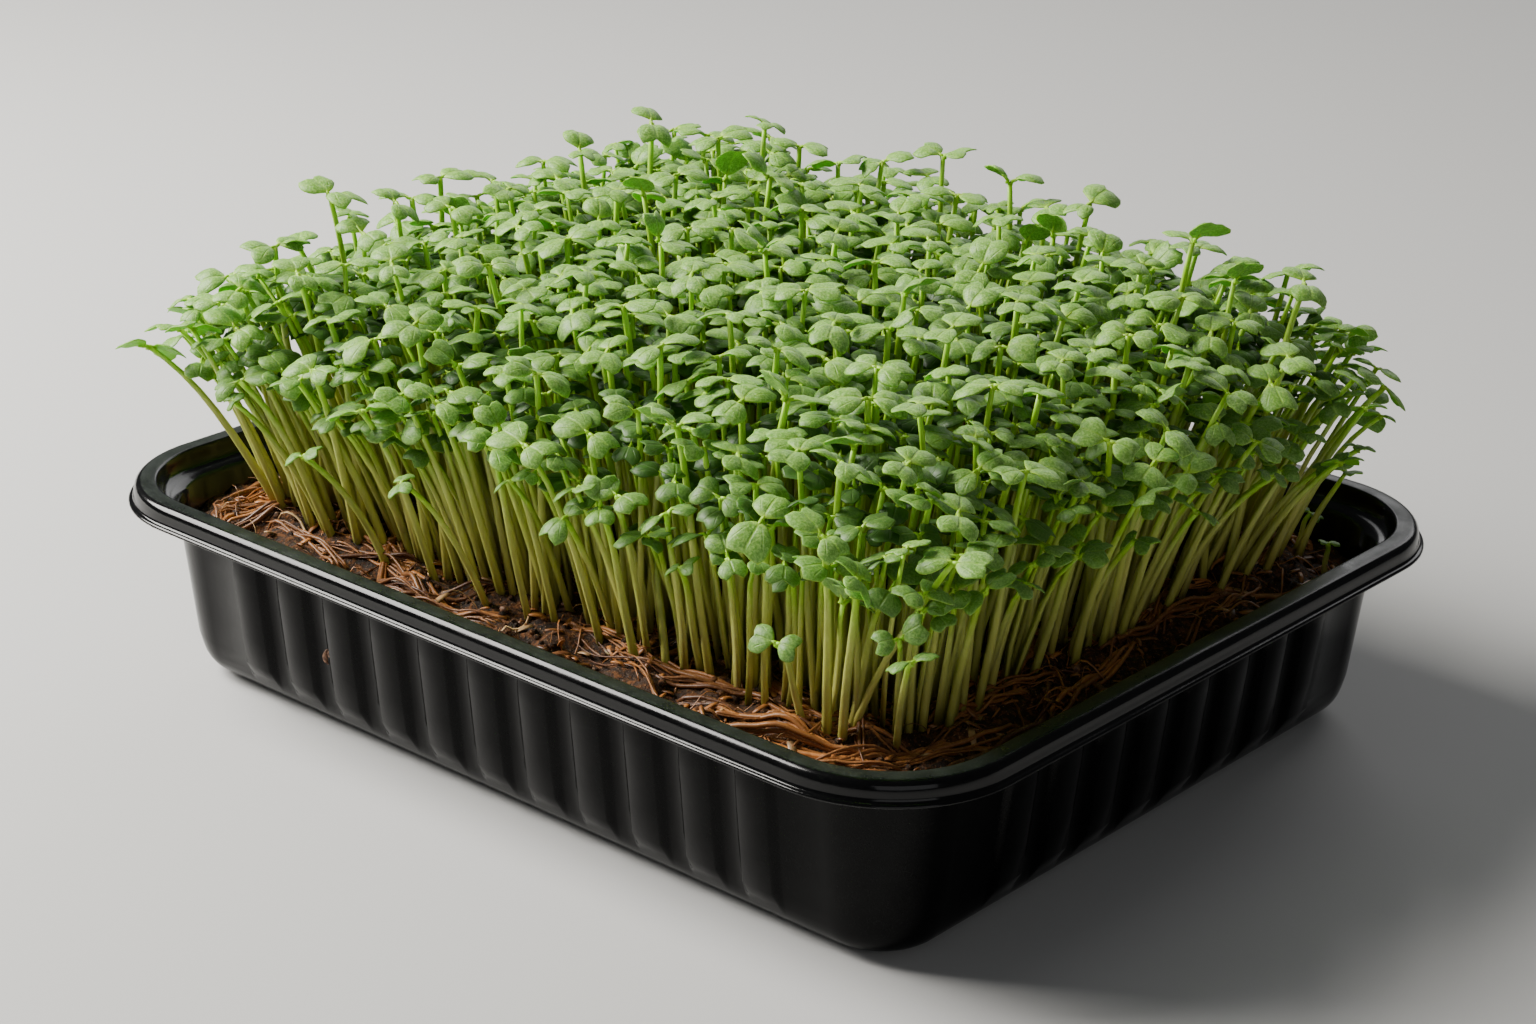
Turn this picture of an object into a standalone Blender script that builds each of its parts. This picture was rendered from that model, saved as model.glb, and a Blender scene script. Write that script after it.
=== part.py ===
"""A black plastic growing tray of broccoli microgreens: the tray, its coir substrate, and the
seedlings, which stand in clumps that each share one plug of roots sunk in a hole in the substrate.

Metres, +Z up. The origin is the middle of the tray's underside, with the long side along X.
"""

import math
import random

import bmesh
import bpy
from mathutils import Matrix, Vector
from mathutils.bvhtree import BVHTree
from mathutils.geometry import delaunay_2d_cdt

# Tray: the outside of the rim's lip, and its corners
TRAY_LENGTH = 0.216
TRAY_WIDTH = 0.180
TRAY_HEIGHT = 0.042
CORNER_RADIUS = 0.027
CORNER_STEPS = 6
WALL = 0.0008

# The tray's section from under the foot, up the outside, over the rim and down the inside,
# as (inset from the lip's outline, height). The ribs stand on the wall between its foot and head.
OUTSIDE_FOOT = ((0.0215, 0.0), (0.0165, 0.0012), (0.0138, 0.0040))
WALL_FOOT = (0.0126, 0.0090)
WALL_HEAD = (0.0098, 0.0338)
RIM_SECTION = (
    (0.0095, 0.0358),
    (0.0086, 0.0367),
    (0.0056, 0.0375),
    (0.0052, 0.0412),
    (0.0025, 0.0412),
    (0.0019, 0.0376),
    (0.0, 0.0374),
    (0.0, 0.0381),
    (0.0010, 0.0384),
    (0.0011, 0.0409),
    (0.0014, 0.0416),
    (0.0021, TRAY_HEIGHT),
    (0.0053, TRAY_HEIGHT),
    (0.0060, 0.0416),
    (0.0066, 0.0384),
    (0.0093, 0.0377),
    (0.0104, 0.0366),
)
INSIDE_FOOT = ((0.0134, 0.0090), (0.0146, 0.0045), (0.0171, 0.0020), (0.0218, WALL))

# Ribs: upright bands raised from the straight stretches of the wall
RIB_PITCH = 0.01325
RIBS_LONG = 11
RIBS_SHORT = 8
RIB_WIDTH = 0.0065
RIB_RISE = 0.0016

# Substrate: fills the tray to a little under its inner ledge
SOIL_LEVEL = 0.0360
SOIL_GAP = 0.0004
SOIL_RINGS = (0.0045, 0.0095)
SOIL_SIDE_STEPS = (6, 5)
SOIL_RELIEF = 0.0008
SOIL_SINK = 0.0026
STRANDS = 22
STRAND_RADIUS = 0.0007
STRAND_LENGTH = 0.021
STRAND_SUNK = 0.0012
STRAND_ARCH = 0.0013

# Clumps of seedlings, in offset rows over the middle of the substrate
SEED = 20
CLUMP_ROWS = 7
CLUMP_COLUMNS = 7
FOOT_REACH = (0.0790, 0.0610)
HEAD_REACH = (0.0840, 0.0680)
CORNER_POWER = 12
PLUG_RADIUS = 0.0056
PLUG_DEPTH = 0.0075
PLUG_SIDES = 5
PLUG_TAPER = 0.86
PLUG_GAP = 0.0004
PLUG_SUNK = 0.0004
FOOT_GATHER = 0.24
FOOT_LIMIT = 0.0023

# Canopy: the stems' tops lie on a loose hexagonal net in three layers
NET_PITCH = 0.0115
CANOPY_REACH = (0.0975, 0.0800)
CANOPY_HEIGHT = 0.0925
CANOPY_DROOP = (0.0160, 0.0220)
CANOPY_POWER = 20
LAYER_STEP = 0.0030
TOP_SHIFT = 0.0018
TOP_LIFT = 0.0010
TALL_SHARE = 0.03
TALL_RISE = (0.002, 0.005)
TILT = (0.02, 0.24)
TRIES = 60

# Plants that stand out above the canopy or lean out at its corners, by the place of the stem's top
STRAYS = (
    (-0.0748, -0.0484, 0.0980),
    (-0.0767, -0.0613, 0.0910),
    (-0.0866, -0.0710, 0.0830),
    (-0.0931, -0.0807, 0.0710),
    (-0.0798, -0.0140, 0.0950),
    (-0.0664, 0.0134, 0.0975),
    (-0.0638, 0.0326, 0.0990),
    (-0.0500, 0.0383, 0.0980),
    (-0.0457, 0.0484, 0.1010),
    (-0.0193, 0.0548, 0.0980),
    (-0.0043, 0.0570, 0.0995),
    (0.0129, 0.0573, 0.0970),
    (0.0310, 0.0601, 0.0960),
    (0.0629, 0.0496, 0.0980),
    (0.0846, 0.0560, 0.0930),
    (0.0963, 0.0631, 0.0810),
    (0.0974, 0.0675, 0.0720),
    (0.0856, -0.0682, 0.0685),
    (0.0895, -0.0488, 0.0770),
)

# One seedling
STEM_SIDES = 3
STEM_FOOT_RADIUS = 0.00110
STEM_TOP_RADIUS = 0.00085
STEM_SUNK = 0.0022
STEM_BOW = 0.004
LEAF_OUTLINE = ((0.0019, 0.0040), (0.0066, 0.0033), (0.0063, 0.0))
LEAF_WAIST = 0.0012
LEAF_MIDDLE = 0.0040
LEAF_CROWN = 0.0004
LEAF_HANG = 0.0015
LEAF_ROOT = 0.0008
SMALL_LEAF = 0.86


def clear_scene():
    for old in list(bpy.data.objects):
        bpy.data.objects.remove(old)


def material(name, colour, roughness):
    made = bpy.data.materials.new(name)
    made.use_nodes = True
    shader = made.node_tree.nodes["Principled BSDF"]
    shader.inputs["Base Color"].default_value = (*colour, 1.0)
    shader.inputs["Roughness"].default_value = roughness
    shader.inputs["Metallic"].default_value = 0.0
    return made


def mesh_object(name, bm, finish=None, smooth_angle=None):
    """A new object from bm, which is freed, with its faces pointing out."""
    bmesh.ops.recalc_face_normals(bm, faces=bm.faces)
    mesh = bpy.data.meshes.new(name)
    bm.to_mesh(mesh)
    bm.free()
    if finish:
        mesh.materials.append(finish)
    if smooth_angle:
        mesh.shade_smooth()
        mesh.set_sharp_from_angle(angle=smooth_angle)
    made = bpy.data.objects.new(name, mesh)
    bpy.context.scene.collection.objects.link(made)
    return made


def apply_boolean(target, operation, others):
    """Joins others to target, or cuts them from it, in one Boolean on a collection, and removes them."""
    group = bpy.data.collections.new(target.name + "_" + operation.lower())
    bpy.context.scene.collection.children.link(group)
    for other in others:
        bpy.context.scene.collection.objects.unlink(other)
        group.objects.link(other)
    modifier = target.modifiers.new(operation, "BOOLEAN")
    modifier.operation = operation
    modifier.operand_type = "COLLECTION"
    modifier.collection = group
    modifier.solver = "EXACT"
    bpy.context.view_layer.update()
    graph = bpy.context.evaluated_depsgraph_get()
    result = bpy.data.meshes.new_from_object(target.evaluated_get(graph))
    target.modifiers.clear()
    target.data = result
    for other in others:
        bpy.data.objects.remove(other)
    bpy.data.collections.remove(group)


def rib_stops(length, count):
    """The corners of one side's ribs, as (distance along the side, share of the rise)."""
    stops = []
    for i in range(count):
        middle = length / 2 + (i - (count - 1) / 2) * RIB_PITCH
        for offset, share in ((-1, 0.0), (-1, 1.0), (1, 1.0), (1, 0.0)):
            flank = 0.0 if share else RIB_RISE
            stops.append((middle + offset * (RIB_WIDTH / 2 + flank), share))
    return stops


def even_stops(length, count):
    """Evenly spaced points along one plain side."""
    return [(length * i / count, 0.0) for i in range(1, count)]


def outline(inset, height, stops=((), ()), corner_steps=CORNER_STEPS):
    """One turn round the tray at that inset, counter-clockwise from above, as (position, point) pairs.
    Position is 0 to 4, and the same place has the same one on every turn, so that turns can be joined."""
    radius = CORNER_RADIUS - inset
    reach = (TRAY_LENGTH / 2 - CORNER_RADIUS, TRAY_WIDTH / 2 - CORNER_RADIUS)
    turn = []
    for corner in range(4):
        centre = Vector((reach[0] * (1, -1, -1, 1)[corner], reach[1] * (1, 1, -1, -1)[corner]))
        for step in range(corner_steps + 1):
            angle = math.radians(90 * (corner + step / corner_steps))
            spot = centre + radius * Vector((math.cos(angle), math.sin(angle)))
            turn.append((corner + 0.5 * step / corner_steps, (spot.x, spot.y, height)))
        side = math.radians(90 * corner + 90)
        out = Vector((math.cos(side), math.sin(side)))
        along = Vector((-out.y, out.x))
        length = 2 * reach[corner % 2]
        for distance, share in stops[corner % 2]:
            spot = centre + (radius + share * RIB_RISE) * out + distance * along
            turn.append((corner + 0.5 + 0.5 * distance / length, (spot.x, spot.y, height)))
    return turn


def join_turns(bm, lower, upper):
    """A band of triangles between two closed turns of (position, vertex) pairs."""
    i = j = 0
    while i < len(lower) or j < len(upper):
        a = lower[i % len(lower)][1]
        b = upper[j % len(upper)][1]
        next_low = lower[i + 1][0] if i + 1 < len(lower) else 4.0 + 5.0 * (i >= len(lower))
        next_up = upper[j + 1][0] if j + 1 < len(upper) else 4.0 + 5.0 * (j >= len(upper))
        if next_low <= next_up:
            i += 1
            bm.faces.new((a, b, lower[i % len(lower)][1]))
        else:
            j += 1
            bm.faces.new((a, b, upper[j % len(upper)][1]))


def stack_turns(bm, turns):
    """Skins a stack of outlines, and returns the vertices of the first and the last."""
    stack = [[(position, bm.verts.new(point)) for position, point in turn] for turn in turns]
    for lower, upper in zip(stack, stack[1:]):
        join_turns(bm, lower, upper)
    return [v for _, v in stack[0]], [v for _, v in stack[-1]]


def tray(finish):
    """The moulded tray: foot, ribbed wall, hollow rim with its skirt and lip, ledge, and inside."""
    ribs = (
        rib_stops(TRAY_LENGTH - 2 * CORNER_RADIUS, RIBS_LONG),
        rib_stops(TRAY_WIDTH - 2 * CORNER_RADIUS, RIBS_SHORT),
    )
    turns = [outline(*section) for section in OUTSIDE_FOOT]
    turns.append(outline(*WALL_FOOT, ribs))
    turns.append(outline(*WALL_HEAD, ribs))
    turns += [outline(*section) for section in RIM_SECTION + INSIDE_FOOT]
    bm = bmesh.new()
    first, last = stack_turns(bm, turns)
    bm.faces.new(first)
    bm.faces.new(last)
    return mesh_object("tray", bm, finish, math.radians(40))


def edge_share(x, y, reach, power=CORNER_POWER):
    """0 in the middle of a rounded oblong of that half length and half width, and 1 on its edge."""
    return ((abs(x) / reach[0]) ** power + (abs(y) / reach[1]) ** power) ** (1 / power)


def soil_height(x, y):
    """The substrate's surface: low mounds, sinking a little towards the tray's wall."""
    mounds = math.sin(210 * x + 1.3) * math.cos(260 * y - 0.4) + 0.6 * math.sin(330 * x + 290 * y)
    return SOIL_LEVEL + SOIL_RELIEF * mounds - SOIL_SINK * edge_share(x, y, (0.096, 0.078)) ** 8


def plug_ring(bm, centre, radius, height=None):
    """The corners of a root plug or its hole, at that height or on the substrate's surface."""
    ring = []
    for i in range(PLUG_SIDES):
        angle = 2 * math.pi * i / PLUG_SIDES
        x = centre.x + radius * math.cos(angle)
        y = centre.y + radius * math.sin(angle)
        ring.append(bm.verts.new((x, y, soil_height(x, y) if height is None else height)))
    return ring


def plug_sides(bm, low, high):
    """The walls between two plug rings, and the flat end on the low one."""
    for i in range(PLUG_SIDES):
        j = (i + 1) % PLUG_SIDES
        bm.faces.new((low[i], low[j], high[j], high[i]))
    bm.faces.new(low)


def substrate_block(centres):
    """The coir block with a plain hole for each root plug."""
    top_inset = WALL_HEAD[0] + WALL + SOIL_GAP
    stops = (
        even_stops(TRAY_LENGTH - 2 * CORNER_RADIUS, SOIL_SIDE_STEPS[0]),
        even_stops(TRAY_WIDTH - 2 * CORNER_RADIUS, SOIL_SIDE_STEPS[1]),
    )
    edge = [(t, (x, y, soil_height(x, y))) for t, (x, y, _) in outline(top_inset, 0.0, stops, 3)]
    turns = [
        outline(INSIDE_FOOT[3][0], WALL + SOIL_GAP, stops, 3),
        outline(INSIDE_FOOT[1][0] + SOIL_GAP, INSIDE_FOOT[1][1] + SOIL_GAP, stops, 3),
        outline(INSIDE_FOOT[0][0] + SOIL_GAP, INSIDE_FOOT[0][1], stops, 3),
        edge,
    ]
    bm = bmesh.new()
    first, points = stack_turns(bm, turns)
    bm.faces.new(first)
    loops = [list(range(len(points)))]
    for centre in centres:
        top = soil_height(*centre) - PLUG_SUNK
        mouth = plug_ring(bm, centre, PLUG_RADIUS + PLUG_GAP)
        floor = plug_ring(bm, centre, (PLUG_RADIUS + PLUG_GAP) * PLUG_TAPER, top - PLUG_DEPTH - PLUG_GAP)
        plug_sides(bm, floor, mouth)
        loops.append(list(range(len(points), len(points) + PLUG_SIDES)))
        points += mouth
    for x, y in mound_spots(centres, edge):
        points.append(bm.verts.new((x, y, soil_height(x, y))))
    flat = [v.co.xy.copy() for v in points]
    _, _, faces, sources, _, inside = delaunay_2d_cdt(flat, [], loops, 1, 1e-7)
    for face, within in zip(faces, inside):
        if within == [0]:
            bm.faces.new([points[sources[i][0]] for i in face])
    return bm


def mound_spots(centres, edge):
    """Points that shape the substrate's surface: two turns on its margin, and one by each clump."""
    spots = []
    for step in SOIL_RINGS:
        share = 1 - step / (TRAY_WIDTH / 2)
        spots += [(x * share, y * share) for _, (x, y, _) in edge]
    spacing = 2 * FOOT_REACH[0] / (CLUMP_COLUMNS - 0.5)
    for centre in centres:
        if centre.x + spacing < FOOT_REACH[0]:
            spots.append((centre.x + spacing / 2, centre.y + 0.002 * math.sin(900 * centre.x)))
    return spots


def strand(number, draw):
    """One coir fibre that arches out of the bare margin between the clumps and the wall."""
    bearing = 2 * math.pi * (number + draw.uniform(-0.2, 0.2)) / STRANDS
    middle = Vector((math.cos(bearing), math.sin(bearing)))
    middle /= edge_share(middle.x, middle.y, (0.0900, 0.0722))
    sideways = abs(middle.y) / 0.0722 > abs(middle.x) / 0.0900
    heading = (0.0 if sideways else math.pi / 2) + draw.uniform(-0.14, 0.14)
    along = Vector((math.cos(heading), math.sin(heading)))
    across = Vector((-along.y, along.x))
    limit = Vector((0.0750, 0.0570))
    middle = Vector((max(-limit.x, min(limit.x, middle.x)), middle.y)) if sideways else middle
    middle = middle if sideways else Vector((middle.x, max(-limit.y, min(limit.y, middle.y))))
    bow = draw.uniform(-0.0016, 0.0016)
    bm = bmesh.new()
    rings = []
    for step in range(4):
        t = step / 3 - 0.5
        spot = middle + along * t * STRAND_LENGTH + across * bow * (4 * t * t - 0.5)
        height = soil_height(spot.x, spot.y) + (STRAND_ARCH if 0 < step < 3 else -STRAND_SUNK)
        ring = []
        for corner in range(3):
            turn = 2 * math.pi * corner / 3 + math.pi / 2
            offset = across * math.cos(turn) * STRAND_RADIUS
            rise = math.sin(turn) * STRAND_RADIUS
            ring.append(bm.verts.new((spot.x + offset.x, spot.y + offset.y, height + rise)))
        rings.append(ring)
    for lower, upper in zip(rings, rings[1:]):
        for i in range(3):
            j = (i + 1) % 3
            bm.faces.new((lower[i], lower[j], upper[j], upper[i]))
    bm.faces.new(rings[0])
    bm.faces.new(rings[-1])
    return mesh_object(f"strand_{number}", bm)


def clump_spots(reach):
    """Offset rows of clumps over a rounded oblong of that half length and half width."""
    spots = []
    for row in range(CLUMP_ROWS):
        for column in range(CLUMP_COLUMNS):
            u = 2 * (column + 0.5 * (row % 2)) / (CLUMP_COLUMNS - 0.5) - 1
            v = 2 * row / (CLUMP_ROWS - 1) - 1
            share = 1 / max(1.0, edge_share(u, v, (1, 1)))
            spots.append(Vector((u * share * reach[0], v * share * reach[1])))
    return spots


def stem_tops(draw):
    """The top of every stem: a loose net in three layers that droops at its edge, with the strays in it."""
    rows = math.ceil(CANOPY_REACH[1] / (NET_PITCH * math.sqrt(0.75)))
    columns = math.ceil(CANOPY_REACH[0] / NET_PITCH) + 1
    tops = []
    for row in range(-rows, rows + 1):
        for column in range(-columns, columns + 1):
            x = (column + 0.5 * (row % 2)) * NET_PITCH + draw.uniform(-1, 1) * TOP_SHIFT
            y = row * NET_PITCH * math.sqrt(0.75) + draw.uniform(-1, 1) * TOP_SHIFT
            edge = edge_share(x, y, CANOPY_REACH, CANOPY_POWER)
            if edge > 1:
                continue
            layer = (column - row // 2 - row) % 3 - 1
            height = CANOPY_HEIGHT - draw.uniform(*CANOPY_DROOP) * edge**7 + LAYER_STEP * layer
            if draw.random() < TALL_SHARE:
                height += draw.uniform(*TALL_RISE)
            tops.append(Vector((x, y, height)))
    for place in STRAYS:
        nearest = min(range(len(tops)), key=lambda n: (tops[n].xy - Vector(place[:2])).length)
        tops[nearest] = Vector(place)
    return tops


def seedlings():
    """Every seedling's clump, foot, top, turn and tilt, drawn so that it crosses none of another clump."""
    draw = random.Random(SEED)
    feet = clump_spots(FOOT_REACH)
    heads = clump_spots(HEAD_REACH)
    placed = []
    for top in stem_tops(draw):
        clump = min(range(len(heads)), key=lambda n: (heads[n] - top.xy).length)
        offset = (top.xy - heads[clump]) * FOOT_GATHER
        if offset.length > FOOT_LIMIT:
            offset *= FOOT_LIMIT / offset.length
        foot = Vector((*(feet[clump] + offset), soil_height(*feet[clump]) - PLUG_SUNK))
        leaning = top - foot
        outward = math.atan2(leaning.y, leaning.x)
        lean = math.atan2(leaning.xy.length, leaning.z)
        for attempt in range(TRIES):
            calm = 1 - attempt / TRIES
            seedling = {
                "clump": clump,
                "foot": foot,
                "top": top + Vector((0, 0, draw.uniform(-1, 1) * TOP_LIFT)),
                "turn": draw.uniform(0, 2 * math.pi),
                "tilt_to": outward + draw.uniform(-2.2, 2.2) * calm,
                "tilt": (0.7 * lean + draw.uniform(*TILT)) * calm,
                "size": draw.uniform(0.92, 1.06) * (1 - 0.15 * (1 - calm)),
            }
            seedling["shape"] = BVHTree.FromBMesh(seedling_mesh(seedling))
            if free_of_others(seedling, placed):
                break
        placed.append(seedling)
    return placed


def free_of_others(seedling, placed):
    """Whether it crosses no seedling of another clump."""
    for other in placed:
        if other["clump"] == seedling["clump"] or (other["top"] - seedling["top"]).length > 0.030:
            continue
        if seedling["shape"].overlap(other["shape"]):
            return False
    return True


def leaf_pair_points(seedling):
    """The outline of each of the two seed leaves, and the crown of each, round the stem's top."""
    size = seedling["size"]
    half = [Vector((x * size, y * size, 0)) for x, y in LEAF_OUTLINE]
    half += [Vector((p.x, -p.y, 0)) for p in (half[1], half[0])]
    outer = [Vector((0, -LEAF_WAIST, 0))] + [Vector((p.x, -p.y, 0)) for p in half]
    inner = [Vector((0, LEAF_WAIST, 0))] + [Vector((-p.x, p.y, 0)) * SMALL_LEAF for p in half]
    crowns = [Vector((LEAF_MIDDLE * size, 0, LEAF_CROWN))]
    crowns.append(Vector((-LEAF_MIDDLE * size * SMALL_LEAF, 0, LEAF_CROWN)))
    for point in outer + inner:
        point.z -= LEAF_HANG * (point.x / LEAF_OUTLINE[1][0]) ** 2
    tilt_axis = Vector((-math.sin(seedling["tilt_to"]), math.cos(seedling["tilt_to"]), 0))
    tilt = Matrix.Rotation(seedling["tilt"], 4, tilt_axis)
    place = Matrix.Translation(seedling["top"]) @ tilt @ Matrix.Rotation(seedling["turn"], 4, "Z")
    return [place @ p for p in outer], [place @ p for p in inner], [place @ p for p in crowns]


def stem_ring(bm, centre, radius, turn):
    ring = []
    for i in range(STEM_SIDES):
        angle = turn + 2 * math.pi * (i + 0.25) / STEM_SIDES
        ring.append(bm.verts.new(centre + Vector((math.cos(angle), math.sin(angle), 0)) * radius))
    return ring


def seedling_mesh(seedling):
    """One stem and its two seed leaves, as one closed body."""
    foot, top, turn = seedling["foot"], seedling["top"], seedling["turn"]
    bend = foot.lerp(top, 0.5) + Vector((0, 0, STEM_BOW))
    bm = bmesh.new()
    rings = [
        stem_ring(bm, foot - Vector((0, 0, STEM_SUNK)), STEM_FOOT_RADIUS, turn),
        stem_ring(bm, bend, (STEM_FOOT_RADIUS + STEM_TOP_RADIUS) / 2, turn),
        stem_ring(bm, top - Vector((0, 0, LEAF_ROOT)), STEM_TOP_RADIUS, turn),
    ]
    for lower, upper in zip(rings, rings[1:]):
        for i in range(STEM_SIDES):
            j = (i + 1) % STEM_SIDES
            bm.faces.new((lower[i], lower[j], upper[j], upper[i]))
    bm.faces.new(rings[0])
    outer, inner, crowns = leaf_pair_points(seedling)
    outer = [bm.verts.new(p) for p in outer]
    inner = [bm.verts.new(p) for p in inner]
    for leaf, waist, crown in ((outer, inner[0], crowns[0]), (inner, outer[0], crowns[1])):
        peak = bm.verts.new(crown)
        edge = leaf + [waist]
        for a, b in zip(edge, edge[1:] + edge[:1]):
            bm.faces.new((a, b, peak))
    join_turns(bm, by_bearing(rings[-1], top, turn), by_bearing(outer + inner, top, turn))
    bmesh.ops.recalc_face_normals(bm, faces=bm.faces)
    return bm


def by_bearing(loop, middle, turn):
    """The vertices of a loop as one turn from the leaves' own X axis, with positions from 0 to 4."""
    pairs = []
    for vertex in loop:
        bearing = math.atan2(vertex.co.y - middle.y, vertex.co.x - middle.x) - turn
        pairs.append((4 * (bearing / (2 * math.pi) % 1), vertex))
    start = min(range(len(pairs)), key=lambda n: pairs[n][0])
    return pairs[start:] + pairs[:start]


def clump(number, centre, members, finish):
    """One plug of roots with its seedlings fused into it."""
    top = soil_height(*centre) - PLUG_SUNK
    name = f"seedlings_{number + 1:02d}"
    bm = bmesh.new()
    head = plug_ring(bm, centre, PLUG_RADIUS, top)
    plug_sides(bm, plug_ring(bm, centre, PLUG_RADIUS * PLUG_TAPER, top - PLUG_DEPTH), head)
    bm.faces.new(head)
    body = mesh_object(name, bm, finish)
    stems = [mesh_object(f"seedling_{i}", seedling_mesh(s)) for i, s in enumerate(members)]
    apply_boolean(body, "UNION", stems)
    return body


def substrate(finish, centres):
    """The coir block with its holes, and the strands on its margin."""
    body = mesh_object("substrate", substrate_block(centres), finish)
    draw = random.Random(SEED + 1)
    apply_boolean(body, "UNION", [strand(i, draw) for i in range(STRANDS)])
    return body


def main():
    clear_scene()
    plastic = material("tray_plastic", (0.012, 0.012, 0.013), 0.28)
    coir = material("coir", (0.13, 0.06, 0.025), 0.9)
    green = material("seedling", (0.22, 0.42, 0.10), 0.5)
    tray(plastic)
    centres = clump_spots(FOOT_REACH)
    substrate(coir, centres)
    members = [[] for _ in centres]
    for seedling in seedlings():
        members[seedling["clump"]].append(seedling)
    for number, centre in enumerate(centres):
        clump(number, centre, members[number], green)


main()
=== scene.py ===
"""The looks of the tray of broccoli microgreens: a fine tray, a crumbly bed of coir with its fibres,
and the seedlings leaf by leaf, with the studio around them.

Metres, +Z up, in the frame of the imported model. The rules that place the stems are the ones that the
CAD part follows, so that each fine plant stands where its simple solid does.
"""

import math
import random

import bmesh
import bpy
import numpy as np
from mathutils import Matrix, Vector, noise
from mathutils.bvhtree import BVHTree

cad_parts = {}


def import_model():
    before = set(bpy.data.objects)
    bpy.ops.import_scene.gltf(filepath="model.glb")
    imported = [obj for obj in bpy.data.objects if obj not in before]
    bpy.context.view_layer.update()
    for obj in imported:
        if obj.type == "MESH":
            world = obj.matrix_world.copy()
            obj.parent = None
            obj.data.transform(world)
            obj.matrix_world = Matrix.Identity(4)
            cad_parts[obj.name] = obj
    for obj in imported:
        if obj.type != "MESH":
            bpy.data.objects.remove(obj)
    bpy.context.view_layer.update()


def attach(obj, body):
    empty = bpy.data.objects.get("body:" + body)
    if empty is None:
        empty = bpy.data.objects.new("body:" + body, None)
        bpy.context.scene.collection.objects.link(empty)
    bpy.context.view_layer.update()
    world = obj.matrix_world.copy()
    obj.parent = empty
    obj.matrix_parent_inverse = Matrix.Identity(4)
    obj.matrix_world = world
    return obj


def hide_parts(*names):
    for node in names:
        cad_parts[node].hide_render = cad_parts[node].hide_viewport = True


# Tray, as in the CAD part. A section's points are (inset, height).
TRAY_LENGTH = 0.216
TRAY_WIDTH = 0.180
TRAY_HEIGHT = 0.042
CORNER_RADIUS = 0.027
OUTSIDE_FOOT = ((0.0215, 0.0), (0.0165, 0.0012), (0.0138, 0.0040))
WALL_FOOT = (0.0126, 0.0090)
WALL_HEAD = (0.0098, 0.0338)
RIM_SECTION = (
    (0.0095, 0.0358),
    (0.0086, 0.0367),
    (0.0056, 0.0375),
    (0.0052, 0.0412),
    (0.0025, 0.0412),
    (0.0019, 0.0376),
    (0.0, 0.0374),
    (0.0, 0.0381),
    (0.0010, 0.0384),
    (0.0011, 0.0401),
    (0.0015, 0.0413),
    (0.0026, TRAY_HEIGHT),
    (0.0053, TRAY_HEIGHT),
    (0.0060, 0.0416),
    (0.0066, 0.0384),
    (0.0093, 0.0377),
    (0.0104, 0.0366),
)
INSIDE_FOOT = ((0.0134, 0.0090), (0.0146, 0.0045), (0.0171, 0.0020), (0.0218, 0.0008))
RIB_PITCH = 0.01325
RIBS_LONG = 11
RIBS_SHORT = 8
RIB_WIDTH = 0.0065
RIB_RISE = 0.0016

# Tray, finer. The ribs fade in between two heights and out between two others. A plastic is its name
# and gloss. A part of the husk on the wall is its offset, length, width and lean.
SECTION_CUTS = 2
CORNER_STEPS = 20
FLANK_STEPS = 4
WALL_STEPS = 4
RIBBED_RIM_STEPS = 5
RIB_FOOT = (0.0042, 0.0098)
RIB_HEAD = (0.0330, 0.0356)
SHARP_ANGLE = 50
TRAY_PLASTICS = (("tray_rim_plastic", 0.34), ("tray_wall_plastic", 0.11))
WALL_HUSK_PLACE = (-0.0455, 0.0180)
WALL_HUSK_PARTS = ((0.0, 0.0036, 0.0009, 0.25), (0.0014, 0.0020, 0.0006, -0.5))

# Substrate, as in the CAD part
SOIL_LEVEL = 0.0360
SOIL_RELIEF = 0.0008
SOIL_SINK = 0.0026
SOIL_REACH = (0.096, 0.078)
FOOT_REACH = (0.0790, 0.0610)
HEAD_REACH = (0.0840, 0.0680)
CORNER_POWER = 12
PLUG_RADIUS = 0.0056
PLUG_DEPTH = 0.0075
PLUG_TAPER = 0.86
PLUG_SUNK = 0.0004
PLUG_HIDDEN = 0.0012
PLUG_RINGS = 4
PLUG_SIDES = 8

# Substrate, finer. Lumps and crumbs are (height, number to the metre).
BED_INSET = 0.0112
BED_COLUMNS = 180
BED_ROWS = 146
BED_LUMPS = (0.0016, 150)
BED_CRUMBS = (0.0010, 430)
BED_LEVELS = (0.0090, 0.0049, 0.0012)
BED_GAP = 0.0004
CORNER_DIPS = ((0.096, 0.078, 0.0050), (-0.098, -0.080, 0.0035))
DIP_REACH = 0.020

# How far out loose bits may lie: the half length and half width of rounded oblongs of that power
SPOT_REACH = (0.0965, 0.0785)
BED_EDGE = (0.0950, 0.0770)
HAIR_EDGE = (0.0955, 0.0775)
TURNING_EDGE = (0.0958, 0.0778)
FIBRE_EDGE = (0.0962, 0.0782)
BED_POWER = 8

# Loose bits on the bed. Each kind is how many there are, the share of them that lies on the bare
# margin, and how far out that margin begins, as a share of the way to the outermost clumps. A curl is
# its strength and the length of a path's steps. A strand's radius is its least and what chance adds.
BUNDLES = (150, 0.82, 0.93)
BUNDLE_LENGTH = (0.016, 0.046)
BUNDLE_CURL = (20, 0.0017)
BUNDLE_LIFT = (0.0004, 0.0022)
BUNDLE_STRAY = 0.45
STRANDS = (3, 4, 5, 6)
STRAND_SPACING = 0.00055
STRAND_PARTING = 0.0016
STRAND_RADIUS = (0.00018, 0.00044)
PARTING_FROM = 0.55
FIBRES = (300, 0.66, 0.80)
FIBRE_LENGTH = (0.006, 0.022)
FIBRE_CURL = (75, 0.0014)
FIBRE_LIFT = (0.0003, 0.0034)
FIBRE_RADIUS = (0.00012, 0.00030)
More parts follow.
